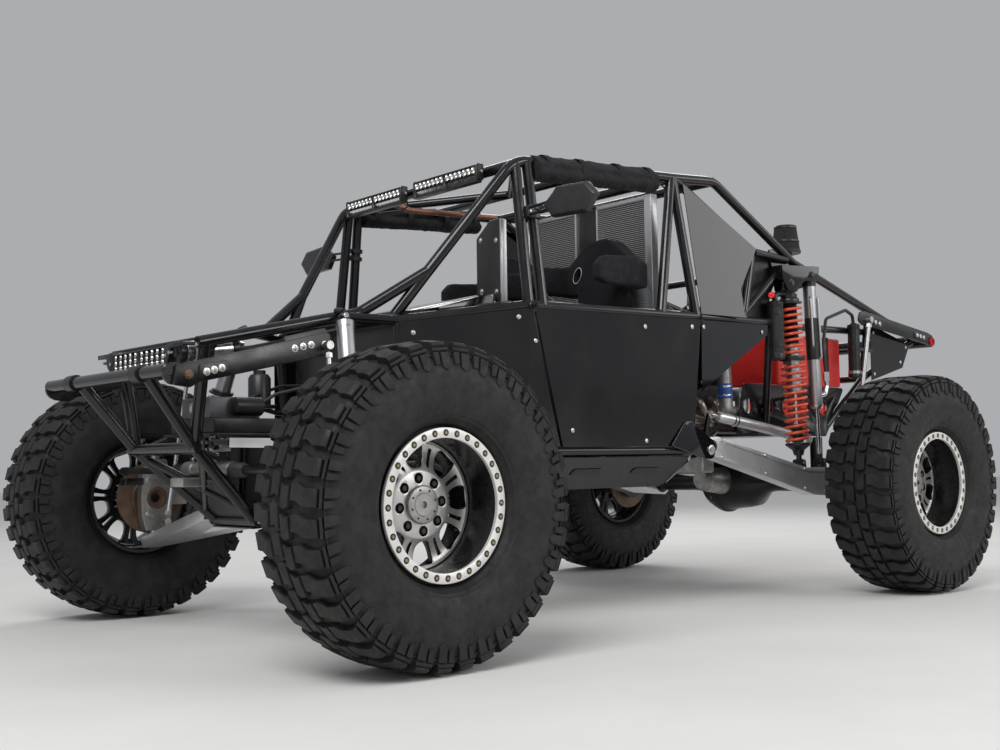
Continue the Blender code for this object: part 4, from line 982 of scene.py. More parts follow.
def gusset(name, corner, along, up, size):
    """A small dimpled corner plate between two tubes at a corner."""
    c, a, u = Vector(corner), Vector(along).normalized(), Vector(up).normalized()
    outline = rounded([(0.004, 0.004), (1.0, 0.004), (0.86, 0.16), (0.3, 0.42), (0.16, 0.92), (0.004, 1.0)], 0.08, 4)
    obj = plate(name, [at(c + a * (x * size) + u * (y * size)) for x, y in outline], (0.004, 0, 0), TUBE, 0.0006)
    hole = turn(
        "hole", at(c + a * (0.24 * size) + u * (0.24 * size)) - Vector((0.02, 0, 0)), ACROSS, rod(0.05, 0.11 * size),
        20
    )
    return cut_with(obj, [hole])


GUSSETS = [
    # corner, way along one tube, way along the other, length of its sides
    ((0.64, 1.622, 1.27), (0, 1, 0.02), (-0.25, 0.24, 1), 0.075),
    ((0.64, 1.806, 1.276), (0, -1, -0.02), (-0.06, -0.06, 1), 0.075),
    ((0.64, 0.925, 1.256), (0, 1, 0.02), (-0.12, -0.01, 1), 0.055),
    ((0.59, 0.922, 1.795), (0, 1, 0.06), (0.12, 0.01, -1), 0.055),
    ((0.57, 1.745, 1.85), (0, -1, -0.06), (0.2, -0.3, -1), 0.06),
]
corner_plates = [gusset("corner", corner, along, up, size) for corner, along, up, size in GUSSETS]
pair("corner_gussets", corner_plates, "frame_tube")

# Rear coilover dampers, modelled along +Z from the upper eye
REAR_COIL = ((0.58, 2.618, 1.47), (0.58, 2.664, 0.61))
BYPASS = ((0.59, 2.777, 1.522), (0.59, 2.82, 0.615))
FRONT_COIL = ((0.385, 0.165, 1.17), (0.612, 0.06, 0.43))
SHAFT = plain("polished_shaft", (0.7, 0.7, 0.71), 0.16, 1.0, 0.1)
SHOCK_BODY = machined("shock_body", (0.5, 0.5, 0.51), 0.34, 500.0, (1.0, 1.0, 0.05))
SHOCK_BLACK = plain("anodised_black", (0.014, 0.014, 0.015), 0.3, 0.2, 0.3, 40.0, 600.0)
RED_ANODISED = plain("anodised_red", (0.45, 0.02, 0.02), 0.28, 0.7, 0.2)


def eye_end(radius, half, height, lift, material):
    """A damper's eye across the X axis with its bearing and neck, at a distance along the damper."""
    ring = turn(
        "eye", (-half, 0, height), ACROSS,
        [
            (0, 0.01), (0, radius * 0.9), (0.002, radius), (2 * half - 0.002, radius), (2 * half, radius * 0.9),
            (2 * half, 0.01), (0, 0.01)
        ],
        28, material
    )
    ball = turn(
        "ball", (-half - 0.004, 0, height), ACROSS,
        [
            (0, 0), (0, 0.0085), (0.004, 0.0125), (half + 0.004, 0.015), (2 * half + 0.004, 0.0125),
            (2 * half + 0.008, 0.0085), (2 * half + 0.008, 0)
        ],
        20, BRIGHT
    )
    neck = turn("neck", (0, 0, height), UP, [(0, 0), (0, 0.012), (lift, 0.014), (lift, 0)], 16, material)
    return [ring, ball, neck]


def hung(pieces, eyes, name):
    """Pieces modelled along +Z from the origin, joined and hung between two eyes."""
    top, bottom = (at(p) for p in eyes)
    obj = join(name, pieces)
    obj.data.transform(facing(top, bottom - top, BACK))
    return obj


run = (Vector(REAR_COIL[1]) - Vector(REAR_COIL[0])).length
coil_first, coil_last = 0.094, run - 0.095
split = coil_first + 0.375 * (coil_last - coil_first)
body = eye_end(0.02, 0.013, 0.0, 0.04, SHOCK_BLACK)
body += [
    turn(
        "cap", (0, 0, 0.024), UP,
        [(0, 0), (0, 0.028), (0.004, 0.032), (0.02, 0.032), (0.022, 0.04), (0.04, 0.04), (0.043, 0.037), (0.043, 0)],
        40, SHOCK_BLACK
    ),
    turn(
        "perch", (0, 0, coil_first - 0.027), UP,
        [
            (0, 0), (0, 0.046), (0.003, 0.048), (0.016, 0.048), (0.018, 0.0605), (0.0245, 0.0605), (0.0265, 0.058),
            (0.0265, 0.0)
        ],
        48, SHOCK_BLACK
    ),
    turn(
        "threads", (0, 0, coil_first), UP,
        [(0, 0)] + [
            (0.004 * k + (0.002 if half else 0), 0.0335 if half else 0.035) for k in range(48) for half in (0, 1)
        ] + [(0.194, 0.0335), (0.194, 0)],
        32, SHOCK_BLACK
    ),
    turn(
        "barrel", (0, 0, coil_first + 0.194), UP, [(0, 0), (0, 0.0335), (0.235, 0.0335), (0.238, 0.031), (0.238, 0)],
        40, SHOCK_BODY
    ),
    turn("divider", (0, 0, split), UP, drum(0.023, 0.0615, 0.006, 0.0605, 0.036), 48, SHOCK_BLACK),
    turn("shaft", (0, 0, coil_first + 0.42), UP, rod(run - coil_first - 0.48, 0.0125), 24, SHAFT),
    turn(
        "bump_stop", (0, 0, coil_last - 0.09), UP,
        [
            (0, 0.013), (0, 0.024), (0.018, 0.027), (0.036, 0.024), (0.054, 0.027), (0.072, 0.024), (0.088, 0.028),
            (0.088, 0.013), (0, 0.013)
        ],
        32, HOSE
    ),
    turn(
        "lower_perch", (0, 0, coil_last + 0.001), UP,
        [(0, 0), (0, 0.0585), (0.003, 0.061), (0.01, 0.061), (0.014, 0.056), (0.034, 0.03), (0.06, 0.022), (0.06, 0)],
        48, SHOCK_BLACK
    ),
]
body += eye_end(0.02, 0.013, run, -0.036, SHOCK_BLACK)
sided(hung(body, REAR_COIL, "coilover_body"), "chassis", "shock_metal", "coilover_rear")
coils = [
    spring("upper_coil", coil_first + 0.001, split, 0.0525, 0.0074, 8, RED_COIL),
    spring("lower_coil", split + 0.023, coil_last, 0.0525, 0.0074, 12, RED_COIL),
]
sided(hung(coils, REAR_COIL, "red_coils"), "chassis", "coil_spring_red", "coilover_rear")

# Bypass dampers beside them, with a hose to the reservoir further back
run = (Vector(BYPASS[1]) - Vector(BYPASS[0])).length
body = eye_end(0.019, 0.013, 0.0, 0.03, SHOCK_BLACK)
body += [
    turn(
        "head", (0, 0, 0.02), UP, [(0, 0), (0, 0.026), (0.003, 0.0335), (0.026, 0.0335), (0.028, 0.032), (0.028, 0)],
        40, SHOCK_BLACK
    ),
    turn("tube", (0, 0, 0.048), UP, rod(0.585, 0.0312), 48, SHOCK_BODY),
    turn("sleeve", (0, 0, 0.205), UP, sleeve(0, 0.205, 0.031, 0.0322), 48, SHOCK_BLACK),
    turn(
        "gland", (0, 0, 0.633), UP, [(0, 0), (0, 0.0325), (0.01, 0.0325), (0.014, 0.029), (0.02, 0.026), (0.02, 0)],
        40, BRIGHT
    ),
    turn("shaft", (0, 0, 0.65), UP, rod(run - 0.68, 0.0105), 24, SHAFT),
]
body += eye_end(0.019, 0.013, run, -0.035, SHOCK_BLACK)
for turn_to, reach in ((-0.5, 0.3), (0.9, 0.24)):
    x, y = 0.0385 * math.cos(turn_to + math.pi), 0.0385 * math.sin(turn_to + math.pi)
    body.append(bar(
        "passage",
        [
            Vector((x * 0.7, y * 0.7, 0.1)), Vector((x, y, 0.115)), Vector((x, y, 0.1 + reach)),
            Vector((x * 0.7, y * 0.7, 0.115 + reach))
        ],
        0.0065, 0.012, 12, SHOCK_BODY
    ))
sided(hung(body, BYPASS, "bypass_damper"), "chassis", "shock_metal", "bypass_rear")
fitting = [
    bar(
        "elbow", places((0.596, 2.828, 0.935), (0.6, 2.872, 0.945), (0.6, 2.89, 0.985), (0.6, 2.886, 1.03)), 0.0115,
        0.02, 14, BRIGHT
    ),
    bar("collar", places((0.6, 2.887, 1.01), (0.6, 2.885, 1.055)), 0.015, 0.0, 6, BRIGHT),
    bar(
        "hose",
        places(
            (0.6, 2.885, 1.05), (0.597, 2.872, 1.18), (0.56, 2.96, 1.33), (0.535, 3.18, 1.392), (0.505, 3.29, 1.375),
            (0.502, 3.3, 1.33)
        ),
        0.0085, 0.05, 12, HOSE
    ),
]
pair("bypass_hose", fitting, "shock_metal")

# Remote reservoirs on clamps
RIBBED = Finish("ribbed_black", (0.014, 0.014, 0.015), 0.34)
RIBBED.bump(RIBBED.wave(95.0, "Y", 0.3), 0.0012, 0.9)
RIBBED = RIBBED.mat


def reservoir(name, foot, head, radius, shell, caps):
    """A gas reservoir between two places with screwed end caps."""
    length = (Vector(head) - Vector(foot)).length
    outline = [(0.03, 0), (0.03, radius), (length - 0.03, radius), (length - 0.03, 0)]
    pieces = [turn("shell", ORIGIN, UP, outline, 40, shell)]
    for first, way in ((0.034, -1), (length - 0.034, 1)):
        ring = [
            (0, 0), (0, radius + 0.0015), (0.006, radius + 0.0025), (0.024, radius + 0.0025), (0.029, radius - 0.003),
            (0.029, radius * 0.5), (0.034, radius * 0.45), (0.034, 0)
        ]
        pieces.append(turn("end", (0, 0, first), (0, 0, way), ring, 40, caps))
    obj = join(name, pieces)
    obj.data.transform(facing(at(foot), Vector(head) - Vector(foot), BACK))
    return obj


def clamp_band(centre, axis, radius, width, material):
    """A band round a can with its screw lug."""
    band = turn("band", (0, 0, -width / 2), UP, sleeve(0, width, radius - 0.0005, radius + 0.0025), 40, material)
    lug = block("lug", (radius, -0.006, -width * 0.45), (radius + 0.014, 0.006, width * 0.45), material, 0.0015)
    screw = turn("screw", (radius + 0.008, -0.012, 0), BACK, rod(0.024, 0.004), 12, ZINC)
    obj = join("clamp", [band, lug, screw])
    obj.data.transform(facing(at(centre), axis, (-1, 0, 0.1)))
    return obj


front_can = [
    reservoir("can", (0.585, 2.502, 1.095), (0.585, 2.5, 1.385), 0.0365, RIBBED, SHOCK_BLACK),
    clamp_band((0.585, 2.502, 1.17), UP, 0.0365, 0.016, SHOCK_BLACK),
    clamp_band((0.585, 2.5, 1.32), UP, 0.0365, 0.016, SHOCK_BLACK),
    bar(
        "bridge", places((0.585, 2.5, 1.37), (0.585, 2.502, 1.412), (0.583, 2.56, 1.424), (0.582, 2.61, 1.424)),
        0.0135, 0.02, 14, SHOCK_BLACK
    ),
    turn(
        "dial", at((0.59, 2.47, 1.405)), (0.5, -0.85, 0.1),
        [
            (0, 0), (0, 0.015), (0.003, 0.0165), (0.016, 0.0165), (0.019, 0.014), (0.019, 0.006), (0.024, 0.005),
            (0.024, 0)
        ],
        18, RED_ANODISED
    ),
    bar("stay", places((0.585, 2.5, 1.25), (0.545, 2.53, 1.25)), 0.01, 0.0, 12, SATIN),
]
pair("coilover_reservoir", front_can, "shock_metal")
rear_can = [
    reservoir("can", (0.5, 3.3, 1.04), (0.5, 3.304, 1.335), 0.0305, SHOCK_BLACK, SHOCK_BLACK),
    clamp_band((0.5, 3.3, 1.2), UP, 0.0305, 0.014, SHOCK_BLACK),
    clamp_band((0.5, 3.3, 1.075), UP, 0.0305, 0.014, BRIGHT),
    bar("stay", places((0.48, 3.32, 1.2), (0.466, 3.45, 1.2)), 0.01, 0.0, 12, SATIN),
]
pair("bypass_reservoir", rear_can, "shock_metal")

# Front coilovers
run = (Vector(FRONT_COIL[1]) - Vector(FRONT_COIL[0])).length
coil_first, coil_last, split = run * 0.33, run - 0.115, 0.48 * run
body = eye_end(0.018, 0.012, 0.0, 0.034, SHOCK_BLACK)
body += [
    turn(
        "barrel", (0, 0, 0.022), UP,
        [(0, 0), (0, 0.028), (0.003, 0.034), (0.026, 0.034), (0.028, 0.0325), (0.44, 0.0325), (0.44, 0)], 40,
        SHOCK_BODY
    ),
    turn(
        "perch", (0, 0, coil_first - 0.02), UP,
        [
            (0, 0.03), (0, 0.044), (0.004, 0.046), (0.01, 0.046), (0.012, 0.0545), (0.018, 0.0545), (0.02, 0.052),
            (0.02, 0.03), (0, 0.03)
        ],
        40, SHOCK_BLACK
    ),
    turn("divider", (0, 0, split), UP, sleeve(0, 0.016, 0.034, 0.0535), 40, SHOCK_BLACK),
    turn("shaft", (0, 0, 0.45), UP, rod(run - 0.48, 0.0115), 24, SHAFT),
    turn(
        "lower_perch", (0, 0, coil_last), UP,
        [
            (0, 0), (0, 0.053), (0.003, 0.0545), (0.008, 0.0545), (0.012, 0.05), (0.036, 0.026), (0.085, 0.018),
            (0.085, 0)
        ],
        40, SHOCK_BLACK
    ),
]
body += eye_end(0.018, 0.012, run, -0.034, SHOCK_BLACK)
sided(hung(body, FRONT_COIL, "front_damper"), "chassis", "shock_metal", "coilover_front")
coils = [
    spring("upper_coil", coil_first + 0.001, split, 0.0475, 0.0062, 5, BLACK_COIL),
    spring("lower_coil", split + 0.016, coil_last, 0.0475, 0.0066, 8, BLACK_COIL),
]
sided(hung(coils, FRONT_COIL, "black_coils"), "chassis", "coil_spring_black", "coilover_front")

# Sway bars: arms outside the frame with doubler plates and screws
BEVELLED = satin_black("arm_black", 0.3)
ARM_FRONT = [
    (-0.562, 0.893, 0.012), (-0.5, 0.886, 0.02), (-0.47, 0.904, 0.02), (0.014, 1.012, 0.02), (0.034, 1.022, 0.012),
    (0.03, 1.088, 0.012), (0.012, 1.093, 0.012), (-0.552, 0.956, 0.012)
]
arm = [
    side_plate("arm", 0.486, ARM_FRONT, 0.01, BEVELLED, 0.0018, 0.012),
    side_plate(
        "doubler_front", 0.4955, [(-0.472, 0.912), (-0.365, 0.938), (-0.365, 0.98), (-0.472, 0.962)], 0.005, BEVELLED,
        0.0012, 0.01
    ),
    side_plate(
        "doubler_rear", 0.482, [(-0.15, 0.995), (0.02, 1.035), (0.02, 1.11), (-0.15, 1.07)], 0.004, BEVELLED, 0.0012,
        0.01
    ),
    turn(
        "arm_end", at((0.486, -0.553, 0.93)), ACROSS, [(-0.012, 0), (-0.012, 0.036), (0, 0.036), (0, 0)], 28, BEVELLED
    ),
]
pair("sway_arm_front", arm, "sway_bar", "sway_bar_front")
FRONT_ARM_SCREWS = [(-0.446, 0.938), (-0.419, 0.945), (-0.392, 0.952)]
REAR_ARM_SCREWS = [(-0.114, 1.03), (-0.081, 1.038), (-0.049, 1.046)]
screws = [((0.5, y, z), ACROSS) for y, z in FRONT_ARM_SCREWS] + [((0.4955, y, z), ACROSS) for y, z in REAR_ARM_SCREWS]
sided(set_out("sway_arm_screws", button_head(0.0085, ZINC), screws), "chassis", "sway_bar")
pivots = [((0.4955, -0.505, 0.928), ACROSS), ((0.4955, 0.007, 1.049), ACROSS)]
sided(set_out("sway_arm_pivots", hex_bolt(0.0115, RUSTY), pivots[:1]), "chassis", "sway_bar")
sided(set_out("sway_link_bolts", hex_bolt(0.0105, ZINC), pivots[1:]), "chassis", "sway_bar")
link = [
    bar("link", places((0.514, 0.009, 1.02), (0.632, -0.022, 0.44)), 0.0085, 0.0, 14, BRIGHT),
    bar("rod_end", places((0.5, 0.009, 1.046), (0.528, 0.009, 1.046)), 0.015, 0.0, 16, ZINC),
    bar("jam_nut", places((0.516, 0.009, 1.018), (0.519, 0.008, 1.002)), 0.0125, 0.0, 6, ZINC),
    bar("rod_end", places((0.622, -0.025, 0.412), (0.65, -0.025, 0.412)), 0.015, 0.0, 16, ZINC),
    bar("jam_nut", places((0.63, -0.022, 0.44), (0.627, -0.021, 0.456)), 0.0125, 0.0, 6, ZINC),
]
pair("sway_link_front", link, "steering_steel")
torsion = [
    turn("torsion_tube", at((-0.478, SWAY_F[1], SWAY_F[2])), ACROSS, rod(0.956, 0.0225), 40, TUBE),
]
for side in (1, -1):
    torsion.append(turn(
        "end_cap", at((side * 0.474, SWAY_F[1], SWAY_F[2])), (side, 0, 0),
        [(0, 0), (0, 0.0225), (0.01, 0.0225), (0.014, 0.018), (0.014, 0)], 40, BEVELLED
    ))
    torsion.append(turn(
        "bush", at((side * 0.27, SWAY_F[1], SWAY_F[2])), (side, 0, 0), sleeve(-0.028, 0.028, 0.022, 0.03), 40, SATIN
    ))
whole("torsion_bar_front", torsion, "sway_bar", "sway_bar_front")

REAR_SWAY_Y = 4.025
ARM_REAR = [
    (3.29, 1.347, 0.02), (3.33, 1.322, 0.02), (3.4, 1.322), (3.96, 1.258, 0.02), (4.045, 1.24, 0.02),
    (4.05, 1.305, 0.03), (3.985, 1.322, 0.03), (3.36, 1.398, 0.02), (3.31, 1.392, 0.02)
]
arm = [
    side_plate("arm", 0.531, ARM_REAR, 0.01, BEVELLED, 0.0018, 0.012),
    side_plate(
        "doubler", 0.54, [(3.38, 1.33), (3.52, 1.316), (3.52, 1.356), (3.38, 1.372)], 0.004, BEVELLED, 0.001, 0.012
    ),
    side_plate(
        "doubler", 0.54, [(3.84, 1.284), (3.97, 1.27), (3.97, 1.308), (3.84, 1.322)], 0.004, BEVELLED, 0.001, 0.012
    ),
]
pair("sway_arm_rear", arm, "sway_bar", "sway_bar_rear")
screws = outwards(0.544, (3.41, 1.349), (3.45, 1.345), (3.49, 1.34), (3.87, 1.3), (3.905, 1.296), (3.94, 1.292))
sided(set_out("sway_arm_rear_screws", button_head(0.008, ZINC), screws), "chassis", "sway_bar")
cap = turn(
    "sway_cap", at((0.541, REAR_SWAY_Y, 1.272)), ACROSS,
    [(0, 0), (0, 0.0255), (0.006, 0.0255), (0.009, 0.022), (0.009, 0.013), (0.005, 0.012), (0.005, 0)], 32,
    RED_ANODISED
)
sided(cap, "chassis", "sway_bar")
torsion = turn("torsion_bar_rear", at((-0.535, REAR_SWAY_Y, 1.27)), ACROSS, rod(1.07, 0.0289), 40, TUBE)
wear(torsion, "chassis", "sway_bar", "sway_bar_rear")
link = [
    bar("link", places((0.555, 3.366, 1.33), (0.523, 3.232, 0.61)), 0.0115, 0.0, 16, SHOCK_BODY),
    bar("rod_end", places((0.535, 3.37, 1.353), (0.572, 3.37, 1.353)), 0.016, 0.0, 16, ZINC),
    bar("rod_end", places((0.505, 3.222, 0.578), (0.537, 3.222, 0.578)), 0.016, 0.0, 16, ZINC),
    bar("jam_nut", places((0.555, 3.366, 1.33), (0.554, 3.362, 1.312)), 0.0155, 0.0, 6, ZINC),
]
pair("sway_link_rear", link, "steering_steel")

# Light bars: ribbed housings with open windows of reflectors, their lead, and the bare tube under the roof
LAMP_BODY = plain("lamp_housing", (0.016, 0.016, 0.017), 0.38, 0.0, 0.3, 40.0, 500.0)
REFLECTOR = plain("lamp_reflector", (0.78, 0.78, 0.78), 0.14, 1.0, 0.05, 60.0, 400.0, 0.00005)
EMITTER = plain("lamp_emitter", (0.8, 0.7, 0.32), 0.45, 0.0, 0.1)


def lamp(low, high, windows, columns, rows, ribs=14):
    """A lamp housing facing forwards, its windows full of cups; rows hold (share of the height, cup or slot)."""
    x0, y0, z0 = low
    x1, y1, z1 = high
    shell = block("shell", at(low), at(high), LAMP_BODY, 0.0035, 3)
    frame_x, frame_z, gap = 0.008, 0.0055, 0.01
    wide = (x1 - x0 - 2 * frame_x - gap * (windows - 1)) / windows
    cutters, made = [], []
    tall = z1 - z0 - 2 * frame_z
    for w in range(windows):
        left = x0 + frame_x + w * (wide + gap)
        cutters.append(block(
            "cutter", at((left, y0 - 0.01, z0 + frame_z)), at((left + wide, y0 + 0.016, z1 - frame_z)), None, 0.0
        ))
        for share, kind in rows:
            z = z0 + frame_z + tall * share
            for c in range(columns):
                x = left + wide * (c + 0.5) / columns
                r = min(wide / columns, tall / len(rows)) * 0.47
                if kind == "cup":
                    made.append(turn(
                        "cup", at((x, y0 + 0.0165, z)), (0, -1, 0),
                        [
                            (0, 0), (0, r * 0.3), (0.003, r * 0.62), (0.009, r * 0.88), (0.0135, r),
                            (0.0135, r * 1.06), (0, r * 1.06), (-0.001, 0)
                        ],
                        14, REFLECTOR
                    ))
                    made.append(block(
                        "chip", at((x - r * 0.22, y0 + 0.0125, z - r * 0.22)),
                        at((x + r * 0.22, y0 + 0.0165, z + r * 0.22)), EMITTER, 0.0
                    ))
                else:
                    corners = [
                        at((x - r * 1.1, y0 + 0.015, z - r * 0.5)), at((x + r * 0.9, y0 + 0.015, z - r * 0.5)),
                        at((x + r * 1.1, y0 + 0.006, z + r * 0.55)), at((x - r * 0.9, y0 + 0.006, z + r * 0.55))
                    ]
                    made.append(plate("slot", corners, (0, 0.0015, 0), REFLECTOR))
    cut_with(shell, cutters)
    for k in range(ribs):
        x = x0 + 0.012 + (x1 - x0 - 0.024) * k / (ribs - 1)
        made.append(block(
            "rib", at((x - 0.0011, y1 - 0.004, z0 + 0.006)), at((x + 0.0011, y1 + 0.009, z1 - 0.006)), LAMP_BODY, 0.0
        ))
    return [shell] + made


roof_y = (0.768, 0.8)
bars = []
for first, last in ((-0.488, -0.077), (0.012, 0.423)):
    bars += lamp((first, roof_y[0], 1.745), (last, roof_y[1], 1.816), 2, 7, ((0.25, "slot"), (0.74, "cup")), 26)
    for x in (first, last):
        ear = block("ear", at((x - 0.004, 0.776, 1.757)), at((x + 0.004, 0.806, 1.821)), SATIN, 0.0015)
        bars += [ear, bar("stud", [at((x - 0.011, 0.79, 1.789)), at((x + 0.011, 0.79, 1.789))], 0.0065, 0.0, 6, ZINC)]
for x in (-0.475, -0.09, 0.025, 0.41):
    bars.append(bar(
        "strap", places((x, 0.79, 1.765), (x, 0.808, 1.765), (x, 0.8145, 1.785)), 0.0055, 0.008, 10, SATIN
    ))
whole("roof_lamps", bars, "light_housing", "roof_light_bars")
lead = bar(
    "lamp_lead",
    places(
        (-0.08, 0.8, 1.765), (-0.1, 0.83, 1.745), (-0.2, 0.85, 1.73), (-0.32, 0.855, 1.742), (-0.4, 0.856, 1.775),
        (-0.41, 0.856, 1.792)
    ),
    0.0035, 0.04, 10, HOSE
)
wear(lead, "chassis", "light_housing")
BARE_STEEL = plain("bare_steel", (0.235, 0.105, 0.07), 0.46, 0.35, 0.5)
brace = bar(
    "roof_brace", places((-0.3, 0.87, 1.8), (-0.3, 0.985, 1.778), (-0.3, 1.509, 1.806)), 0.0125, 0.06, 16, BARE_STEEL
)
wear(brace, "chassis", "frame_tube")
nose = lamp((-0.216, -0.449, 0.976), (0.216, -0.412, 1.047), 2, 5, ((0.17, "cup"), (0.5, "cup"), (0.83, "cup")), 24)
for side in (1, -1):
    nose.append(plate(
        "ear",
        [at((side * x, -0.4495, z)) for x, z in (
            (0.214, 0.985), (0.214, 1.047), (0.245, 1.052), (0.338, 1.052), (0.338, 1.036), (0.25, 1.034),
            (0.228, 0.985)
        )],
        (0, 0.004, 0), SATIN, 0.0008
    ))
    nose.append(bar(
        "stud", [at((side * 0.221, -0.4495, 1.012)), at((side * 0.221, -0.454, 1.012))], 0.0065, 0.0, 6, ZINC
    ))
    nose.append(bar("brace", places((side * 0.33, -0.446, 1.044), (side * 0.33, -0.4, 1.046)), 0.006, 0.0, 12, SATIN))
whole("nose_lamp", nose, "light_housing", "nose_light_bar")

# Nose reservoirs
BANDED = plain("reservoir_body", (0.6, 0.6, 0.61), 0.28, 1.0, 0.12, 40.0, 500.0)
LABEL_WHITE = plain("pale_band", (0.62, 0.62, 0.61), 0.45, 0.0, 0.1)
cans = [
    reservoir("can", (0.262, -0.44, 1.02), (0.262, -0.202, 1.044), 0.035, BANDED, SHOCK_BLACK),
    clamp_band((0.262, -0.318, 1.032), (0, 1, 0.1), 0.035, 0.016, SHOCK_BLACK),
    bar("valve", places((0.262, -0.448, 1.019), (0.262, -0.462, 1.018)), 0.006, 0.0, 10, BRIGHT),
    bar("foot", places((0.285, -0.315, 1.034), (0.312, -0.315, 1.048)), 0.009, 0.0, 12, SATIN),
    bar(
        "hose",
        places(
            (0.262, -0.2, 1.044), (0.262, -0.15, 1.05), (0.3, -0.04, 1.075), (0.34, 0.08, 1.105), (0.368, 0.14, 1.12)
        ),
        0.008, 0.05, 12, HOSE
    ),
]
for first in (0.036, 0.064):
    cans.append(turn(
        "band", at((0.262, -0.44 + first, 1.02 + 0.1 * first)), (0, 1, 0.1), sleeve(0, 0.016, 0.034, 0.0358), 40,
        LABEL_WHITE if first > 0.05 else BRIGHT
    ))
pair("nose_can", cans, "shock_metal", "nose_reservoir")


# Panels: screws, the round bosses where the tubes of the sill meet, and the strip behind the door
def door_skin(z):
    return 0.6742 - (1.235 - z) * 0.0595


DOOR_SCREWS = [(0.851, 1.096), (1.472, 1.187), (1.774, 1.205), (1.06, 0.753), (1.495, 0.713)]
QUARTER_SCREWS = [(0.6435, 1.865, 0.968), (0.6745, 1.85, 1.209), (0.6035, 2.366, 1.222)]
COWL_SCREWS = [(0.654, 0.775, 1.183), (0.4704, 0.4117, 1.118), (0.62, 0.76, 0.76), (0.472, 0.465, 0.8)]
spots = [((door_skin(z), y, z), (1, 0, 0.06)) for y, z in DOOR_SCREWS]
spots += [(p, (1, 0.1, 0.06)) for p in QUARTER_SCREWS] + [(p, (0.893, -0.45, 0.03)) for p in COWL_SCREWS]
spots += outwards(0.487, (3.515, 1.3), (3.515, 1.075), (3.78, 1.15), (3.84, 1.235))
sided(set_out("panel_screws", button_head(0.0062, ZINC), spots), "chassis", "body_panel")
BOSS = [
    (0, 0), (0, 1.0), (0.22, 1.0), (0.26, 0.93), (0.26, 0.8), (0.2, 0.76), (0.2, 0.52), (0.36, 0.48), (0.36, 0.26),
    (0.16, 0.24), (0.16, 0)
]
bosses = []
for spot, r in (((0.666, 0.836, 1.226), 0.0225), ((0.666, 1.835, 1.246), 0.015)):
    bosses.append(turn("boss", at(spot), ACROSS, [(2.2 * s * r, w * r) for s, w in BOSS], 32, TUBE))
pair("sill_bosses", bosses, "frame_tube")
seam = plate(
    "door_seam", places((0.653, 1.82, 1.236), (0.653, 1.915, 1.236), (0.633, 1.915, 0.935), (0.633, 1.812, 0.935)),
    (0.003, 0, 0), PANEL
)
sided(seam, "chassis", "body_panel")

# Brackets and feet that carry the arms, dampers and links
CARRIERS = [
    # path, radius
    ([(0.33, 0.165, 1.196), (0.378, 0.166, 1.19)], 0.011),
    ([(0.528, 2.616, 1.5), (0.58, 2.616, 1.502)], 0.011),
    ([(0.528, 2.775, 1.553), (0.59, 2.775, 1.553)], 0.011),
    ([(0.4, 2.17, 0.715), (0.423, 2.178, 0.838)], 0.012),
    ([(0.5, 3.47, 1.2), (0.5, 3.33, 1.2)], 0.01),
]
carriers = [bar("carrier", places(*path), radius, 0.0, 14, TUBE) for path, radius in CARRIERS]
for low, high in (
    ((0.145, -0.08, 0.438), (0.199, -0.012, 0.47)), ((0.24, 0.302, 0.444), (0.299, 0.368, 0.47)),
    ((0.4, 3.95, 1.262), (0.44, 3.994, 1.285))
):
    carriers.append(block("foot", at(low), at(high), TUBE, 0.003))
for centre, reach in (((0.288, -0.32, 0.716), 0.026), ((0.43, 0.375, 0.722), 0.024)):
    for shift in (-0.03, 0.022):
        spot = at(centre)
        carriers.append(block(
            "ear", spot + Vector((-reach, shift, -reach)), spot + Vector((0.012, shift + 0.006, reach)), TUBE, 0.002
        ))
pair("carriers", carriers, "frame_tube")

# Rack housing with its bellows, and what fills the nose: skid sheet, tray, units, bottle and lines
rack_house = [
    turn(
        "house", at((-0.175, -0.17, 0.62)), ACROSS,
        [
            (0, 0), (0, 0.026), (0.01, 0.033), (0.08, 0.033), (0.084, 0.03), (0.266, 0.03), (0.27, 0.033),
            (0.34, 0.033), (0.35, 0.026), (0.35, 0)
        ],
        40, CAST
    ),
    block("rack_foot", at((-0.05, -0.3, 0.562)), at((0.05, -0.16, 0.595)), CAST, 0.004),
]
for side in (1, -1):
    outline = [(0.002, 0.016)]
    for k in range(7):
        outline += [(0.006 + 0.011 * k, 0.027), (0.0115 + 0.011 * k, 0.02)]
    outline += [(0.086, 0.0155), (0.002, 0.0155), (0.002, 0.016)]
    rack_house.append(turn("bellows", at((side * 0.175, -0.17, 0.62)), (side, 0, 0), outline, 28, HOSE))
whole("rack_housing", rack_house, "frame_tube")
low_a, low_b = between(NOSE_LOW, BELLY_NOSE, 0.42), between(NOSE_LOW, BELLY_NOSE, 0.96)
nose_sheet = plate("nose_sheet", places(low_a, flip(low_a), flip(low_b), low_b), (0, 0.003, 0.003), SKID)
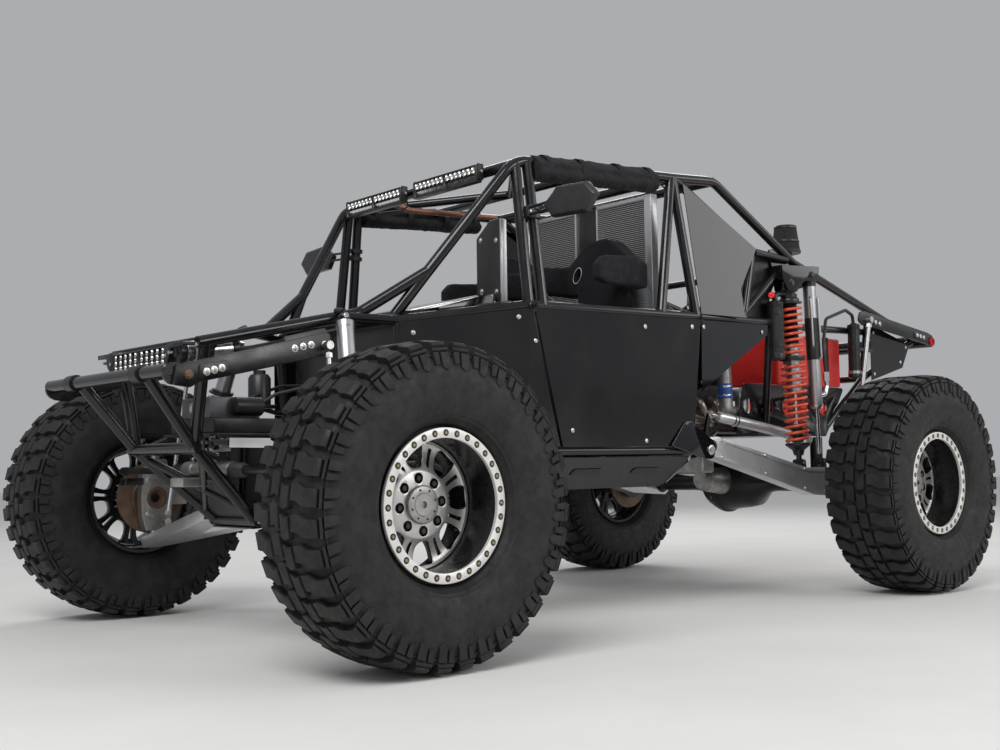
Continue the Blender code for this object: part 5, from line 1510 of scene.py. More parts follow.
tray = [
    block("tray", at((-0.185, -0.26, 0.742)), at((0.185, 0.06, 0.752)), SATIN, 0.002),
    block("box", at((-0.165, -0.24, 0.752)), at((0.165, 0.04, 0.806)), SATIN, 0.006, 3),
    block("unit", at((-0.11, -0.225, 0.806)), at((0.105, -0.02, 0.884)), ENGINE_METAL, 0.006, 3),
    turn(
        "button", at((-0.02, -0.225, 0.846)), (0, -1, 0),
        [(0, 0), (0, 0.02), (0.003, 0.021), (0.007, 0.019), (0.007, 0.011), (0.004, 0.01), (0.004, 0)], 28, BRIGHT
    ),
    turn(
        "motor", at((0.12, -0.14, 0.85)), BACK,
        [(0, 0), (0, 0.028), (0.004, 0.034), (0.11, 0.034), (0.116, 0.028), (0.116, 0)], 32, SATIN
    ),
    block("bulkhead", at((-0.262, 0.062, 0.462)), at((0.262, 0.066, 0.76)), SATIN, 0.001),
    turn(
        "bottle", at((-0.14, 0.12, 0.87)), UP,
        [(0, 0), (0, 0.04), (0.004, 0.044), (0.105, 0.044), (0.12, 0.034), (0.12, 0.024), (0.136, 0.024), (0.136, 0)],
        36, GLOVE_BLACK
    ),
    block("bottle_seat", at((-0.19, 0.06, 0.855)), at((-0.09, 0.17, 0.871)), SATIN, 0.003),
]
for side in (1, -1):
    tray.append(bar("post", places((side * 0.15, 0.045, 0.745), (side * 0.176, 0.052, 0.47)), 0.0095, 0.0, 12, SATIN))
    tray.append(bar(
        "post", places((side * 0.16, -0.24, 0.745), (side * 0.19, -0.336, 0.702)), 0.0095, 0.0, 12, SATIN
    ))
    tray.append(bar(
        "line",
        places(
            (side * 0.06, -0.015, 0.85), (side * 0.08, 0.06, 0.9), (side * 0.18, 0.24, 0.95),
            (side * 0.2, 0.424, 0.96)
        ),
        0.0065, 0.05, 12, HOSE
    ))
tray.append(bar(
    "mast", places((-0.14, 0.12, 0.858), (-0.14, 0.2, 0.84), (-0.16, 0.428, 0.84)), 0.0095, 0.03, 12, SATIN
))
whole("nose_equipment", tray + [nose_sheet], "frame_tube")

# Dash: a wedge over the instruments' back, with an upright board edged in aluminium, and the firewall below
top_plan = [(0.35, 0.45), (-0.35, 0.45), (-0.555, 0.83), (0.555, 0.83)]
dash = [plate("top", [at((x, y, 1.176 + (y - 0.45) * 0.12)) for x, y in top_plan], (0, 0, 0.038), DASH, 0.004, 3)]
WEDGE = [(0.52, 1.206), (0.52, 1.22), (0.797, 1.298), (0.818, 1.262), (0.818, 1.215)]
dash.append(side_plate("wedge", -0.49, WEDGE, 0.98, PANEL, 0.0015))
for y, z in ((0.785, 1.283), (0.8, 1.258)):
    dash.append(turn(
        "wedge_screw", at((0.4895, y, z)), ACROSS, [(0, 0), (0, 0.005), (0.0022, 0.0042), (0.0022, 0)], 14, ZINC
    ))
BOARD = rounded(
    [(0.358, 1.215, 0.002), (0.358, 1.529, 0.02), (0.44, 1.591, 0.02), (0.5, 1.591, 0.002), (0.5, 1.215, 0.002)],
    0.002
)
dash.append(plate("board", standing(0.8215, *BOARD), (0, 0.009, 0), DASH, 0.0012))
dash.append(plate(
    "board_edge", standing(0.8215, (0.5, 1.215), (0.5, 1.591), (0.508, 1.588), (0.508, 1.215)), (0, 0.029, 0), ALLOY,
    0.001
))
dash.append(plate(
    "board_top",
    standing(0.8225, (0.357, 1.53), (0.44, 1.592), (0.504, 1.592), (0.504, 1.5885), (0.441, 1.5885), (0.36, 1.527)),
    (0, 0.027, 0), ALLOY, 0.0006
))
for tall in (1.5, 1.4, 1.3):
    dash.append(turn(
        "gauge", at((0.428, 0.83, tall)), BACK,
        [(0, 0), (0, 0.036), (0.026, 0.036), (0.03, 0.033), (0.03, 0.03), (0.026, 0.0295), (0.026, 0)], 32, SATIN
    ))
dash += [
    block("wall", at((-0.365, 0.425, 0.56)), at((0.365, 0.429, 1.16)), SATIN, 0.001),
    block("wall_top", at((-0.34, 0.425, 1.156)), at((0.34, 0.468, 1.18)), SATIN, 0.003),
    bar("column", [at((0.3, 0.8, 1.222)), at((0.3, 0.985, 1.146))], 0.0155, 0.0, 20, SATIN),
    turn(
        "column_hub", at((0.3, 0.972, 1.15)), (0, 0.93, -0.37),
        [(0, 0.012), (0, 0.024), (0.006, 0.026), (0.018, 0.026), (0.022, 0.022), (0.022, 0.01)], 24, BRIGHT
    ),
]
whole("dash_body", dash, "dash_plastic", "dash")
board_screws = [((x, 0.8212, z), (0, -1, 0)) for x, z in (
    (0.385, 1.521), (0.478, 1.508), (0.388, 1.314), (0.478, 1.304)
)]
wear(set_out("board_screws", button_head(0.0068, BRIGHT), board_screws), "chassis", "dash_plastic")

# Mirrors: a hexagonal shell with two raised fins, the glass behind and a two-bar arm on clamps
MIRROR = [(0.722, 1.614), (0.795, 1.672), (0.95, 1.662), (0.998, 1.61), (0.947, 1.55), (0.765, 1.557)]
FACETS = [
    [(0.814, 1.656), (0.866, 1.606), (0.782, 1.562)],
    [(0.906, 1.652), (0.956, 1.604), (0.874, 1.56)],
]
MIRROR_GLASS = plain("mirror_glass", (0.62, 0.63, 0.65), 0.06, 1.0, 0.02, depth=0.0)
middle = at((0.862, 0.86, 1.612))
shell = draw(standing(0.876, *MIRROR), closed=True)
pull((0, -0.024, 0))
pull((0, -0.008, 0))
bpy.ops.transform.resize(value=(0.9, 1.0, 0.84))
tidy_mesh()
mirror = [smooth(named(soften(shell, 0.0022, 3, 12), "shell", GLOVE_BLACK), 20)]
for outline in FACETS:
    facet = draw(standing(0.85, *outline), closed=True)
    pull((0, -0.0065, 0))
    bpy.ops.transform.resize(value=(0.9, 1.0, 0.86))
    bpy.ops.mesh.poke(offset=-0.015)
    tidy_mesh()
    mirror.append(smooth(named(facet, "facet", GLOVE_BLACK), 8))
mirror.append(plate(
    "glass", [middle + (at((x, 0.86, z)) - middle) * 0.93 + Vector((0, 0.0155, 0)) for x, z in MIRROR],
    (0, 0.0028, 0), MIRROR_GLASS, 0.0008
))
for lift in (-0.014, 0.014):
    mirror.append(bar(
        "arm", places((0.628, 0.862, 1.604 + lift), (0.69, 0.862, 1.606 + lift), (0.742, 0.862, 1.61 + lift)), 0.0058,
        0.02, 14, SATIN
    ))
mirror.append(block("arm_foot", at((0.73, 0.856, 1.588)), at((0.76, 0.872, 1.63)), GLOVE_BLACK, 0.003))
for share, width in ((0.33, 0.02), (0.39, 0.02)):
    spot = between((0.578, 0.9, 1.816), (0.65, 0.905, 1.233), share)
    mirror.append(turn(
        "clamp", at(spot), (0.072, 0.005, -0.583),
        [
            (-width / 2, 0.0212), (-width / 2, 0.029), (-width / 2 + 0.002, 0.0305), (width / 2 - 0.002, 0.0305),
            (width / 2, 0.029), (width / 2, 0.0212), (-width / 2, 0.0212)
        ],
        32, GLOVE_BLACK
    ))
mirror.append(block("clamp_block", at((0.596, 0.852, 1.582)), at((0.634, 0.886, 1.626)), GLOVE_BLACK, 0.004))
mirror.append(bar("clamp_screw", [at((0.59, 0.862, 1.604)), at((0.64, 0.862, 1.604))], 0.0042, 0.0, 10, ZINC))
pair("side_mirror", mirror, "mirror_plastic", "mirror")

# Radiators: two cores in an aluminium frame, with a shroud and fans behind
# The core's colour runs in light and dark bands along its height: the dark bands are painted shade in the passages
# between the fins.
FINS = Finish("radiator_fins", (0.1, 0.1, 0.1), 0.42, 0.8)
FINS.to("Base Color", FINS.ramp(FINS.wave(34.0, "Z", 0.3), 0.2, 0.9, (0.045, 0.045, 0.046), (0.36, 0.36, 0.36)))
FINS.bump(FINS.wave(34.0, "Z", 0.3), 0.003, 0.8)
FINS.bump(FINS.wave(260.0, "X", 0.2), 0.0006, 0.5)
FINS = FINS.mat
RAD_LOW, RAD_HIGH = 1.276, 1.838
radiator = [
    block("core", at((-0.386, 1.808, RAD_LOW + 0.022)), at((-0.06, 1.838, RAD_HIGH - 0.02)), FINS, 0.0),
    block("core", at((0.085, 1.808, RAD_LOW + 0.022)), at((0.386, 1.838, RAD_HIGH - 0.02)), FINS, 0.0),
    block("middle", at((-0.06, 1.812, RAD_LOW + 0.01)), at((0.085, 1.836, RAD_HIGH - 0.012)), SATIN, 0.002),
    block("shroud", at((-0.4, 1.839, RAD_LOW + 0.015)), at((0.4, 1.846, RAD_HIGH - 0.015)), SATIN, 0.002),
]
for x0, x1 in ((-0.428, -0.384), (0.384, 0.428)):
    radiator.append(block("tank", at((x0, 1.803, RAD_LOW)), at((x1, 1.848, RAD_HIGH)), ALLOY, 0.005, 3))
for x0, x1 in ((-0.384, -0.056), (0.081, 0.384)):
    for z in (RAD_LOW + 0.002, RAD_HIGH - 0.02):
        radiator.append(block("rail", at((x0, 1.804, z)), at((x1, 1.844, z + 0.018)), ALLOY, 0.002))
for x in (-0.062, 0.081):
    radiator.append(block("rail", at((x, 1.804, RAD_LOW)), at((x + 0.008, 1.846, RAD_HIGH)), ALLOY, 0.002))
for x in (-0.205, 0.205):
    centre = at((x, 1.846, 1.558))
    radiator.append(turn(
        "fan_ring", centre, BACK,
        [(0, 0.15), (0, 0.172), (0.01, 0.172), (0.012, 0.168), (0.012, 0.154), (0.01, 0.15), (0, 0.15)], 56,
        GLOVE_BLACK
    ))
    radiator.append(turn(
        "fan_hub", centre, BACK, [(0, 0), (0, 0.044), (0.009, 0.042), (0.011, 0.036), (0.011, 0)], 36, GLOVE_BLACK
    ))
    for k in range(8):
        blade = plate(
            "blade",
            [Vector(p) for p in (
                (0.036, 0.002, -0.014), (0.146, 0.001, -0.03), (0.15, 0.008, 0.018), (0.036, 0.007, 0.012)
            )],
            (0, 0.0012, 0), GLOVE_BLACK
        )
        blade.data.transform(Matrix.Translation(centre) @ Matrix.Rotation(math.pi * k / 4, 4, "Y"))
        radiator.append(blade)
whole("radiator_body", radiator, "radiator_alloy", "radiator")

# Seats: blocks joined, rounded over and smoothed into one padded shell
def cushioned(name, blocks, grain, passes, material):
    """Joined blocks turned into one soft skin."""
    pad = join(name, blocks)
    use(pad, "REMESH", mode="VOXEL", voxel_size=grain)
    use(pad, "SMOOTH", factor=0.5, iterations=passes)
    return smooth(named(pad, name, material), 180)


def creased(obj, size, depth, name):
    """A slow swell over the surface, as in a cover pulled over foam."""
    clouds = bpy.data.textures.new(name, "CLOUDS")
    clouds.noise_scale = size
    return use(obj, "DISPLACE", texture=clouds, strength=depth, mid_level=0.5)


SEAT_BACK = [
    (1.445, 0.76), (1.47, 0.96), (1.52, 1.19), (1.555, 1.29), (1.615, 1.294), (1.636, 1.265), (1.556, 0.7),
    (1.5, 0.65), (1.45, 0.65)
]
SEAT_BOLSTER = [
    (1.385, 0.7), (1.4, 0.88), (1.455, 1.08), (1.505, 1.2), (1.545, 1.284), (1.615, 1.294), (1.636, 1.265),
    (1.556, 0.7), (1.5, 0.65), (1.4, 0.65)
]
SEAT_SIDE = [(1.095, 0.645), (1.066, 0.74), (1.1, 0.785), (1.38, 0.746), (1.46, 0.8), (1.5, 0.65)]
SEAT_WING = [(1.348, 1.4), (1.348, 1.462), (1.388, 1.5), (1.59, 1.516), (1.59, 1.38), (1.39, 1.38)]
SEAT_HEAD = [
    (0.084, 1.379), (0.536, 1.379), (0.536, 1.488), (0.48, 1.527), (0.4, 1.597), (0.358, 1.616), (0.262, 1.616),
    (0.22, 1.597), (0.14, 1.527), (0.084, 1.488)
]
blocks = [
    side_plate("back", 0.12, SEAT_BACK, 0.38, None, 0.0),
    block("cushion", at((0.12, 1.075, 0.65)), at((0.5, 1.47, 0.745)), None, 0.0),
    side_plate("neck", 0.192, [(1.545, 1.25), (1.563, 1.42), (1.648, 1.42), (1.638, 1.25)], 0.236, None, 0.0),
    plate("head", standing(1.568, *SEAT_HEAD), (0, 0.086, 0), None, 0.0),
]
for x in (0.083, 0.475):
    blocks.append(side_plate("bolster", x, SEAT_BOLSTER, 0.062, None, 0.0))
    blocks.append(side_plate("side", x, SEAT_SIDE, 0.062, None, 0.0))
for x in (0.083, 0.488):
    blocks.append(side_plate("wing", x, SEAT_WING, 0.049, None, 0.0))

def slanted(obj, x):
    """Turns and stretches a round belt hole at a half width of the seat into a slanted oval."""
    centre = Matrix.Translation(at((x, 0, BELT_HOLE_Z)))
    lean = Matrix.Rotation(-0.5 if x > 0.3 else 0.5, 4, "Y")
    obj.data.transform(centre @ lean @ Matrix.Diagonal((0.82, 1.0, 1.35, 1.0)) @ centre.inverted())
    return obj


BELT_HOLES, BELT_HOLE_Z = (0.185, 0.435), 1.47
seat = cushioned("race_seat", blocks, 0.0065, 14, SEAT_CLOTH)
holes = [
    slanted(turn("hole", at((x, 1.5, BELT_HOLE_Z)), BACK, rod(0.3, 0.026), 28), x)
    for x in BELT_HOLES
]
cut_with(seat, holes)
creased(seat, 0.16, 0.006, "foam_swell")
smooth(seat, 180)
PIPING = [(-0.001, 0.0262), (-0.0016, 0.0275), (-0.001, 0.0288), (0.0012, 0.0288), (0.0012, 0.0262)]
piping = [
    slanted(turn("piping", at((x, 1.5675, BELT_HOLE_Z)), BACK, PIPING + PIPING[:1], 40, LABEL_WHITE), x)
    for x in BELT_HOLES
]
feet = [block("rail", at((x, 1.125, 0.569)), at((x + 0.03, 1.465, 0.648)), SATIN, 0.003) for x in (0.165, 0.405)]
seat_right = mirror_x(seat, "race_seat_right")
for obj, word in ((seat, "left"), (seat_right, "right")):
    wear(named(obj, f"race_seat_{word}"), "chassis", "seat_fabric", f"seat_{word}")
pair("seat_piping", piping, "seat_fabric")
pair("seat_rails", feet, "frame_tube")
duct = bar(
    "air_duct", places((0.42, 1.738, 1.16), (0.42, 1.738, 1.372), (0.33, 1.738, 1.452), (0.13, 1.738, 1.452)), 0.044,
    0.075, 28, None
)
DUCT_GREY = Finish("duct_grey", (0.16, 0.17, 0.18), 0.42)
DUCT_GREY.bump(DUCT_GREY.wave(24.0, "Z", 1.2), 0.004, 0.4)
named(duct, "air_duct", DUCT_GREY.mat)
wear(duct, "chassis", "seat_fabric")

# Window nets, rolled up under the roof rails and held by straps
RAIL_SLOPE = (ROOF_R[2] - ROOF_F[2]) / (ROOF_R[1] - ROOF_F[1])


def rail_height(y):
    return ROOF_F[2] + (y - ROOF_F[1]) * RAIL_SLOPE


net_first, net_last = 0.927, 1.636
folds = [
    # shift across and down from the roll's middle, radius
    (0.004, -0.002, 0.034), (0.02, -0.016, 0.025), (-0.014, -0.018, 0.024), (0.024, 0.014, 0.018),
    (0.002, -0.026, 0.024), (-0.012, 0.03, 0.0285), (0.006, 0.02, 0.026),
]
layers = []
for dx, dz, r in folds:
    layers.append(bar(
        "fold", [at((0.588 + dx, y, rail_height(y) - 0.03 + dz)) for y in (net_first, net_last)], r, 0.0, 20, None
    ))
net = join("window_net", layers)
use(net, "REMESH", mode="VOXEL", voxel_size=0.0045)
rail_clear = bar("clear", [at((0.575, y, rail_height(y))) for y in (0.9, 1.7)], 0.0224, 0.0, 32, None)
bar_clear = bar("clear", [at((0.575, 1.34, 1.847)), at((0.3, 1.34, 1.847))], 0.0195, 0.0, 24, None)
use(net, "SMOOTH", factor=0.5, iterations=4)
creased(net, 0.045, 0.01, "net_folds")
creased(net, 0.015, 0.003, "net_wrinkles")
cut_with(net, [rail_clear, bar_clear])
smooth(named(net, "window_net", NET_CLOTH), 60)
net_right = mirror_x(net, "window_net_right")
for obj, word in ((net, "left"), (net_right, "right")):
    wear(named(obj, f"window_net_{word}"), "chassis", "net_fabric", f"net_roll_{word}")
straps = []
for y, wide in ((0.985, 0.026), (1.18, 0.03), (1.4, 0.026), (1.59, 0.026)):
    strap = turn("strap", ORIGIN, BACK, sleeve(-wide / 2, wide / 2, 1.0, 1.045), 40, NET_CLOTH)
    strap.data.transform(
        Matrix.Translation(at((
            0.584, y, rail_height(y) - 0.024
        ))) @ Matrix.Rotation(RAIL_SLOPE, 4, "X") @ Matrix.Diagonal((0.045, 1.0, 0.053, 1.0))
    )
    straps.append(strap)
    straps.append(block(
        "buckle", at((0.626, y - 0.017, rail_height(y) - 0.04)), at((0.632, y + 0.017, rail_height(y) - 0.012)),
        SEAT_CLOTH, 0.002
    ))
pair("net_straps", straps, "net_fabric")

# Charge pipe with its blue coupler and two clamps
BLUE = plain("blue_silicone", (0.02, 0.085, 0.33), 0.38, 0.0, 0.15)
PIPE = [
    (0.2805, 2.545, 0.95), (0.338, 2.545, 0.95), (0.338, 2.545, 0.862), (0.338, 2.48, 0.852), (0.338, 2.42, 0.87),
    (0.338, 2.412, 1.175)
]
pipe = [bar("pipe", places(*PIPE), 0.0335, 0.045, 28, CAST)]
up = Vector(PIPE[5]) - Vector(PIPE[4])
for t, r, w, mat in (
    (0.3, 0.0358, 0.074, BLUE), (0.23, 0.0368, 0.01, BRIGHT), (0.37, 0.0368, 0.01, BRIGHT),
    (0.93, 0.0358, 0.04, BLUE), (0.9, 0.0368, 0.009, BRIGHT)
):
    pipe.append(turn(
        "band", at(between(PIPE[4], PIPE[5], t)), up,
        [
            (-w / 2, 0.03), (-w / 2, r - 0.0012), (-w / 2 + 0.003, r), (w / 2 - 0.003, r), (w / 2, r - 0.0012),
            (w / 2, 0.03), (-w / 2, 0.03)
        ],
        40, mat
    ))
whole("charge_tube", pipe, "charge_pipe_alloy", "charge_pipe")


def pleated(name, centre, low_r, high_r, tall, pleats, depth, material):
    """A filter cone with pleats."""
    ring = []
    for k in range(pleats * 2):
        r = low_r - (depth if k % 2 else 0.0)
        ring.append(Vector(centre) + Vector((
            r * math.cos(math.pi * k / pleats), r * math.sin(math.pi * k / pleats), 0
        )))
    obj = draw(ring, closed=True)
    pull((0, 0, tall))
    bpy.ops.transform.resize(value=(high_r / low_r, high_r / low_r, 1.0))
    tidy_mesh()
    return smooth(named(obj, name, material), 20)


FILTER = plain("filter_media", (0.028, 0.027, 0.026), 0.85, 0.0, 0.4, 30.0, 500.0, 0.0004)
intake = [
    bar(
        "tube", places((0.1, 2.4, 1.185), (0.1, 2.4, 1.32), (0.24, 3.04, 1.62), (0.25, 3.08, 1.725)), 0.034, 0.08, 28,
        SATIN
    ),
    pleated("media", at((0.25, 3.08, 1.734)), 0.074, 0.0585, 0.118, 44, 0.0065, FILTER),
    turn(
        "base", at((0.25, 3.08, 1.716)), UP,
        [(0, 0), (0, 0.076), (0.004, 0.078), (0.014, 0.078), (0.02, 0.073), (0.02, 0)], 56, SATIN
    ),
    turn(
        "crown", at((0.25, 3.08, 1.849)), UP,
        [(0, 0), (0, 0.06), (0.01, 0.06), (0.0155, 0.056), (0.0165, 0.03), (0.0165, 0)], 56, SATIN
    ),
    turn(
        "band", at((0.25, 3.08, 1.775)), UP, [(0, 0.06), (0, 0.0712), (0.01, 0.0705), (0.01, 0.06), (0, 0.06)], 56,
        SATIN
    ),
]
for share in (0.1, 0.46, 0.55, 0.9):
    spot = between((0.1, 2.4, 1.32), (0.24, 3.04, 1.62), share)
    way = (0.14, 0.64, 0.3)
    intake.append(turn("clamp", at(spot), way, sleeve(-0.006, 0.006, 0.03, 0.0355), 36, BRIGHT))
whole("intake_filter", intake, "intake_metal", "intake")

# Tank of the fuel cell, its straps and cap
tank = [
    block("tank", at((-0.386, 2.782, 1.002)), at((0.386, 3.348, 1.262)), RED_TANK, 0.014, 4),
    block("plate", at((-0.12, 2.92, 1.26)), at((0.12, 3.2, 1.266)), ALLOY, 0.002),
    turn(
        "cap", at((0.0, 3.06, 1.264)), UP,
        [(0, 0), (0, 0.05), (0.003, 0.052), (0.006, 0.05), (0.008, 0.04), (0.008, 0)], 32, RED_ANODISED
    ),
]
for y in (2.905, 3.225):
    tank.append(block("strap", at((-0.3875, y - 0.014, 1.0005)), at((0.3875, y + 0.014, 1.2645)), SATIN, 0.003))
for z in (1.045, 1.22):
    tank.append(block("groove", at((-0.3868, 2.815, z)), at((0.3868, 3.315, z + 0.006)), RED_TANK, 0.002))
for side in (1, -1):
    liner = sorted((side * 0.372, side * 0.376))
    tank.append(block("liner", at((liner[0], 2.56, 0.78)), at((liner[1], 3.21, 1.004)), RED_TANK, 0.0))
whole("fuel_tank", tank, "fuel_cell_plastic", "fuel_cell")

# Power unit: a vee engine with covers, manifolds, pulleys and the gearbox below and behind
ENGINE_BLACK = satin_black("engine_black", 0.36)
PIPE_METAL = plain("header_steel", (0.36, 0.31, 0.27), 0.34, 1.0, 0.4)
power = [
    block("crankcase", at((-0.15, 2.02, 0.78)), at((0.15, 2.56, 0.93)), ENGINE_METAL, 0.012, 3),
    block("sump", at((-0.13, 2.03, 0.752)), at((0.13, 2.5, 0.79)), CAST, 0.008, 3),
    block("valley", at((-0.1, 2.04, 0.92)), at((0.1, 2.54, 1.04)), ENGINE_METAL, 0.01, 3),
    block("bell", at((-0.16, 2.52, 0.762)), at((0.16, 2.578, 1.0)), CAST, 0.02, 3),
    block("gearbox", at((-0.118, 2.502, 0.562)), at((0.118, 2.598, 0.898)), CAST, 0.016, 3),
    block("plenum", at((-0.105, 2.08, 1.07)), at((0.105, 2.5, 1.16)), ENGINE_BLACK, 0.02, 4),
    block("mount_bar", at((-0.34, 2.352, 0.762)), at((0.34, 2.418, 0.778)), TUBE, 0.003),
    turn(
        "throttle", at((0.1, 2.4, 1.145)), UP, [(0, 0), (0, 0.046), (0.03, 0.046), (0.0345, 0.04), (0.0345, 0)], 32,
        CAST
    ),
]
for side in (1, -1):
    head = [
        (side * 0.085, 2.04, 0.925), (side * 0.165, 2.04, 0.885), (side * 0.238, 2.04, 0.995),
        (side * 0.15, 2.04, 1.05)
    ]
    power.append(plate("head", places(*head), (0, 0.485, 0), ENGINE_METAL, 0.006))
    cover = [
        (side * 0.153, 2.06, 1.052), (side * 0.241, 2.06, 0.998), (side * 0.266, 2.06, 1.03),
        (side * 0.24, 2.06, 1.072), (side * 0.185, 2.06, 1.104)
    ]
    power.append(plate("cover", places(*cover), (0, 0.445, 0), ENGINE_BLACK, 0.008, 3))
    for k in range(4):
        y = 2.105 + 0.118 * k
        power.append(bar(
            "coil", [at((side * 0.205, y, 1.08)), at((side * 0.218, y, 1.112))], 0.013, 0.0, 12, ENGINE_BLACK
        ))
        power.append(bar(
            "runner", places((side * 0.085, y, 1.11), (side * 0.135, y, 1.105), (side * 0.155, y, 1.05)), 0.02, 0.03,
            16, ENGINE_BLACK
        ))
        power.append(bar(
            "header",
            places(
                (side * 0.2, y, 0.93), (side * 0.25, y, 0.905), (side * 0.258, y + 0.03, 0.84),
                (side * 0.235, 2.48, 0.8)
            ),
            0.0175, 0.03, 16, PIPE_METAL
        ))
    power.append(bar(
        "collector", places((side * 0.235, 2.44, 0.803), (side * 0.232, 2.56, 0.8)), 0.034, 0.0, 20, PIPE_METAL
    ))
for x, z, r in ((0.0, 0.85, 0.078), (0.105, 0.985, 0.04), (-0.11, 0.985, 0.046), (0.0, 1.0, 0.036)):
    rim = [
        (0, 0), (0, r), (0.004, r), (0.006, r - 0.005), (0.014, r - 0.005), (0.016, r), (0.02, r), (0.02, r * 0.8),
        (0.014, r * 0.7), (0.014, 0)
    ]
    power.append(turn("pulley", at((x, 2.02, z)), (0, -1, 0), rim, 36, SATIN))
whole("power_unit", power, "engine_metal", "engine")

# Skid under the engine and tank, its sides pierced by round holes with rolled rims
skid = [block("pan", at((-0.386, 2.62, 0.7449)), at((0.386, 3.18, 0.7502)), SKID, 0.0015)]
cutters = [
    bar("hole", [at((-0.6, 2.53 + 0.16 * k, 0.89)), at((0.6, 2.53 + 0.16 * k, 0.89))], 0.0375, 0.0, 36, None)
    for k in range(5)
]
for start, end in ((QUARTER_R, (0.36, 2.7, 0.77)), (CRADLE_R, TAIL_LOW)):
    for way in both([start, end]):
        cutters.append(bar("clear", places(*way), RAIL + 0.003, 0.0, 20, None))
sides = []
for side in (1, -1):
    outline = rounded([(2.43, 0.742), (3.19, 0.742), (3.37, 0.9995), (2.5, 0.9995)], 0.015)
    sides.append(plate("side", [at((side * 0.382, y, z)) for y, z in outline], (side * 0.004, 0, 0), SKID))
for wall in sides:
    for cutter in cutters:
        cut_with(wall, [copied(cutter)])
for cutter in cutters:
    bpy.data.objects.remove(cutter)
skid += sides
for side in (1, -1):
    for k in range(5):
        skid.append(turn(
            "rim", at((side * 0.386, 2.53 + 0.16 * k, 0.89)), (side, 0, 0),
            [
                (-0.004, 0.0368), (0.0015, 0.0368), (0.0022, 0.039), (0.0015, 0.0425), (0.0002, 0.044),
                (-0.0004, 0.044), (-0.004, 0.0368)
            ],
            40, SKID
        ))
whole("tail_skid", skid, "skid_plate", "rear_skid")

# Belly skid: raised oblong rims on its sloping sides
slots = []
for y in (1.205, 1.56):
    oblong = rounded([(-0.085, -0.021), (0.085, -0.021), (0.085, 0.021), (-0.085, 0.021)], 0.0205, 8)
    rim = plate("rim", [Vector((x, v, 0)) for x, v in oblong], (0, 0, 0.0028), SKID, 0.0012)
    pit = plate("pit", [Vector((x * 0.9, v * 0.66, 0.0022)) for x, v in oblong], (0, 0, 0.0012), HOSE)
    spot = join("slot", [rim, pit])
    spot.data.transform(facing(at((0.5708, y, 0.5862)), (0.657, 0, -0.754)))
    slots.append(spot)
pair("belly_slots", slots, "skid_plate")

# Trailing arms: boxed alloy with a recessed web, bolts round its edge and steel ends
ARM = [
    (1.93, 0.722), (1.985, 0.732), (2.66, 0.585), (2.99, 0.582), (3.03, 0.54), (3.025, 0.47), (2.985, 0.436),
    (2.72, 0.452), (1.96, 0.642), (1.918, 0.68)
]
WEB = [(2.03, 0.706), (2.64, 0.57), (2.86, 0.562), (2.86, 0.5), (2.8, 0.47), (2.72, 0.474), (2.03, 0.65)]
arm = side_plate("arm", 0.549, ARM, 0.078, ALLOY, 0.0035, 0.02)
recess = side_plate("recess", 0.6215, WEB, 0.02, ALLOY, 0.0, 0.03)
axle_bore = bar("bore", [at((0.5, WHEELBASE, TYRE_R)), at((0.7, WHEELBASE, TYRE_R))], 0.047, 0.0, 40, None)
cut_with(arm, [recess, axle_bore])
trail = [smooth(arm)]
trail += [
    turn("pivot", at((0.544, 1.95, 0.69)), ACROSS, drum(0.088, 0.028, 0.004, 0.022), 32, SATIN),
    turn(
        "hub_clamp", at((0.5485, WHEELBASE, TYRE_R)), ACROSS,
        [(0, 0.0465), (0, 0.058), (0.003, 0.061), (0.078, 0.061), (0.0815, 0.058), (0.0815, 0.0465), (0, 0.0465)], 48,
        SATIN
    ),
]
for eyes, width in ((REAR_COIL, 0.02), (BYPASS, 0.02)):
    low_eye = at(eyes[1])
    for shift in (-width - 0.0045, width - 0.0015):
        ear = side_plate(
            "ear", eyes[1][0] + shift,
            [
                (eyes[1][1] - 0.026, 0.56), (eyes[1][1] + 0.026, 0.56), (eyes[1][1] + 0.02, eyes[1][2] + 0.014),
                (eyes[1][1] - 0.02, eyes[1][2] + 0.014)
            ],
            0.006, SATIN, 0.0012, 0.015
        )
        trail.append(ear)
    trail.append(bar(
        "eye_bolt", [low_eye - Vector((0.03, 0, 0)), low_eye + Vector((0.03, 0, 0))], 0.0075, 0.0, 6, ZINC
    ))
pair("trail_arm", trail, "arm_alloy", "trailing_arm")
edge_screws = outwards(
    0.6272, (2.01, 0.715), (2.33, 0.647), (2.64, 0.58), (2.87, 0.574), (2.89, 0.48), (2.64, 0.487), (2.33, 0.563),
    (2.01, 0.64)
)
sided(set_out("trail_arm_screws", button_head(0.0065, ZINC), edge_screws), "chassis", "arm_alloy")

# Upper links with rod ends, jam nuts and black bands
UPPER_LINK = ((0.424, 2.19, 0.84), (0.475, 2.9035, 0.725))
LINK_BLACK = plain("link_band", (0.015, 0.015, 0.016), 0.35, 0.0, 0.3)
link_start, link_end = (at(p) for p in UPPER_LINK)
link_way = (link_end - link_start).normalized()
link_run = (link_end - link_start).length
upper = [
    turn(
        "tube", link_start, link_way,
        [(0.05, 0), (0.05, 0.02), (0.06, 0.0255), (0.66, 0.0255), (0.67, 0.02), (0.67, 0)], 36, ALLOY
    ),
    turn(
        "ends", link_start, link_way,
        [(0.004, 0), (0.004, 0.0115), (link_run - 0.004, 0.0115), (link_run - 0.004, 0)], 18, ZINC
    ),
    turn("nut", link_start, link_way, sleeve(0.038, 0.05, 0.01, 0.0185), 6, ZINC),
    turn("nut", link_start, link_way, sleeve(0.67, 0.682, 0.01, 0.0185), 6, ZINC),
]
for s in (0.15, 0.172, 0.56, 0.582):
    upper.append(turn("band", link_start, link_way, sleeve(s, s + 0.008, 0.025, 0.0262), 36, LINK_BLACK))
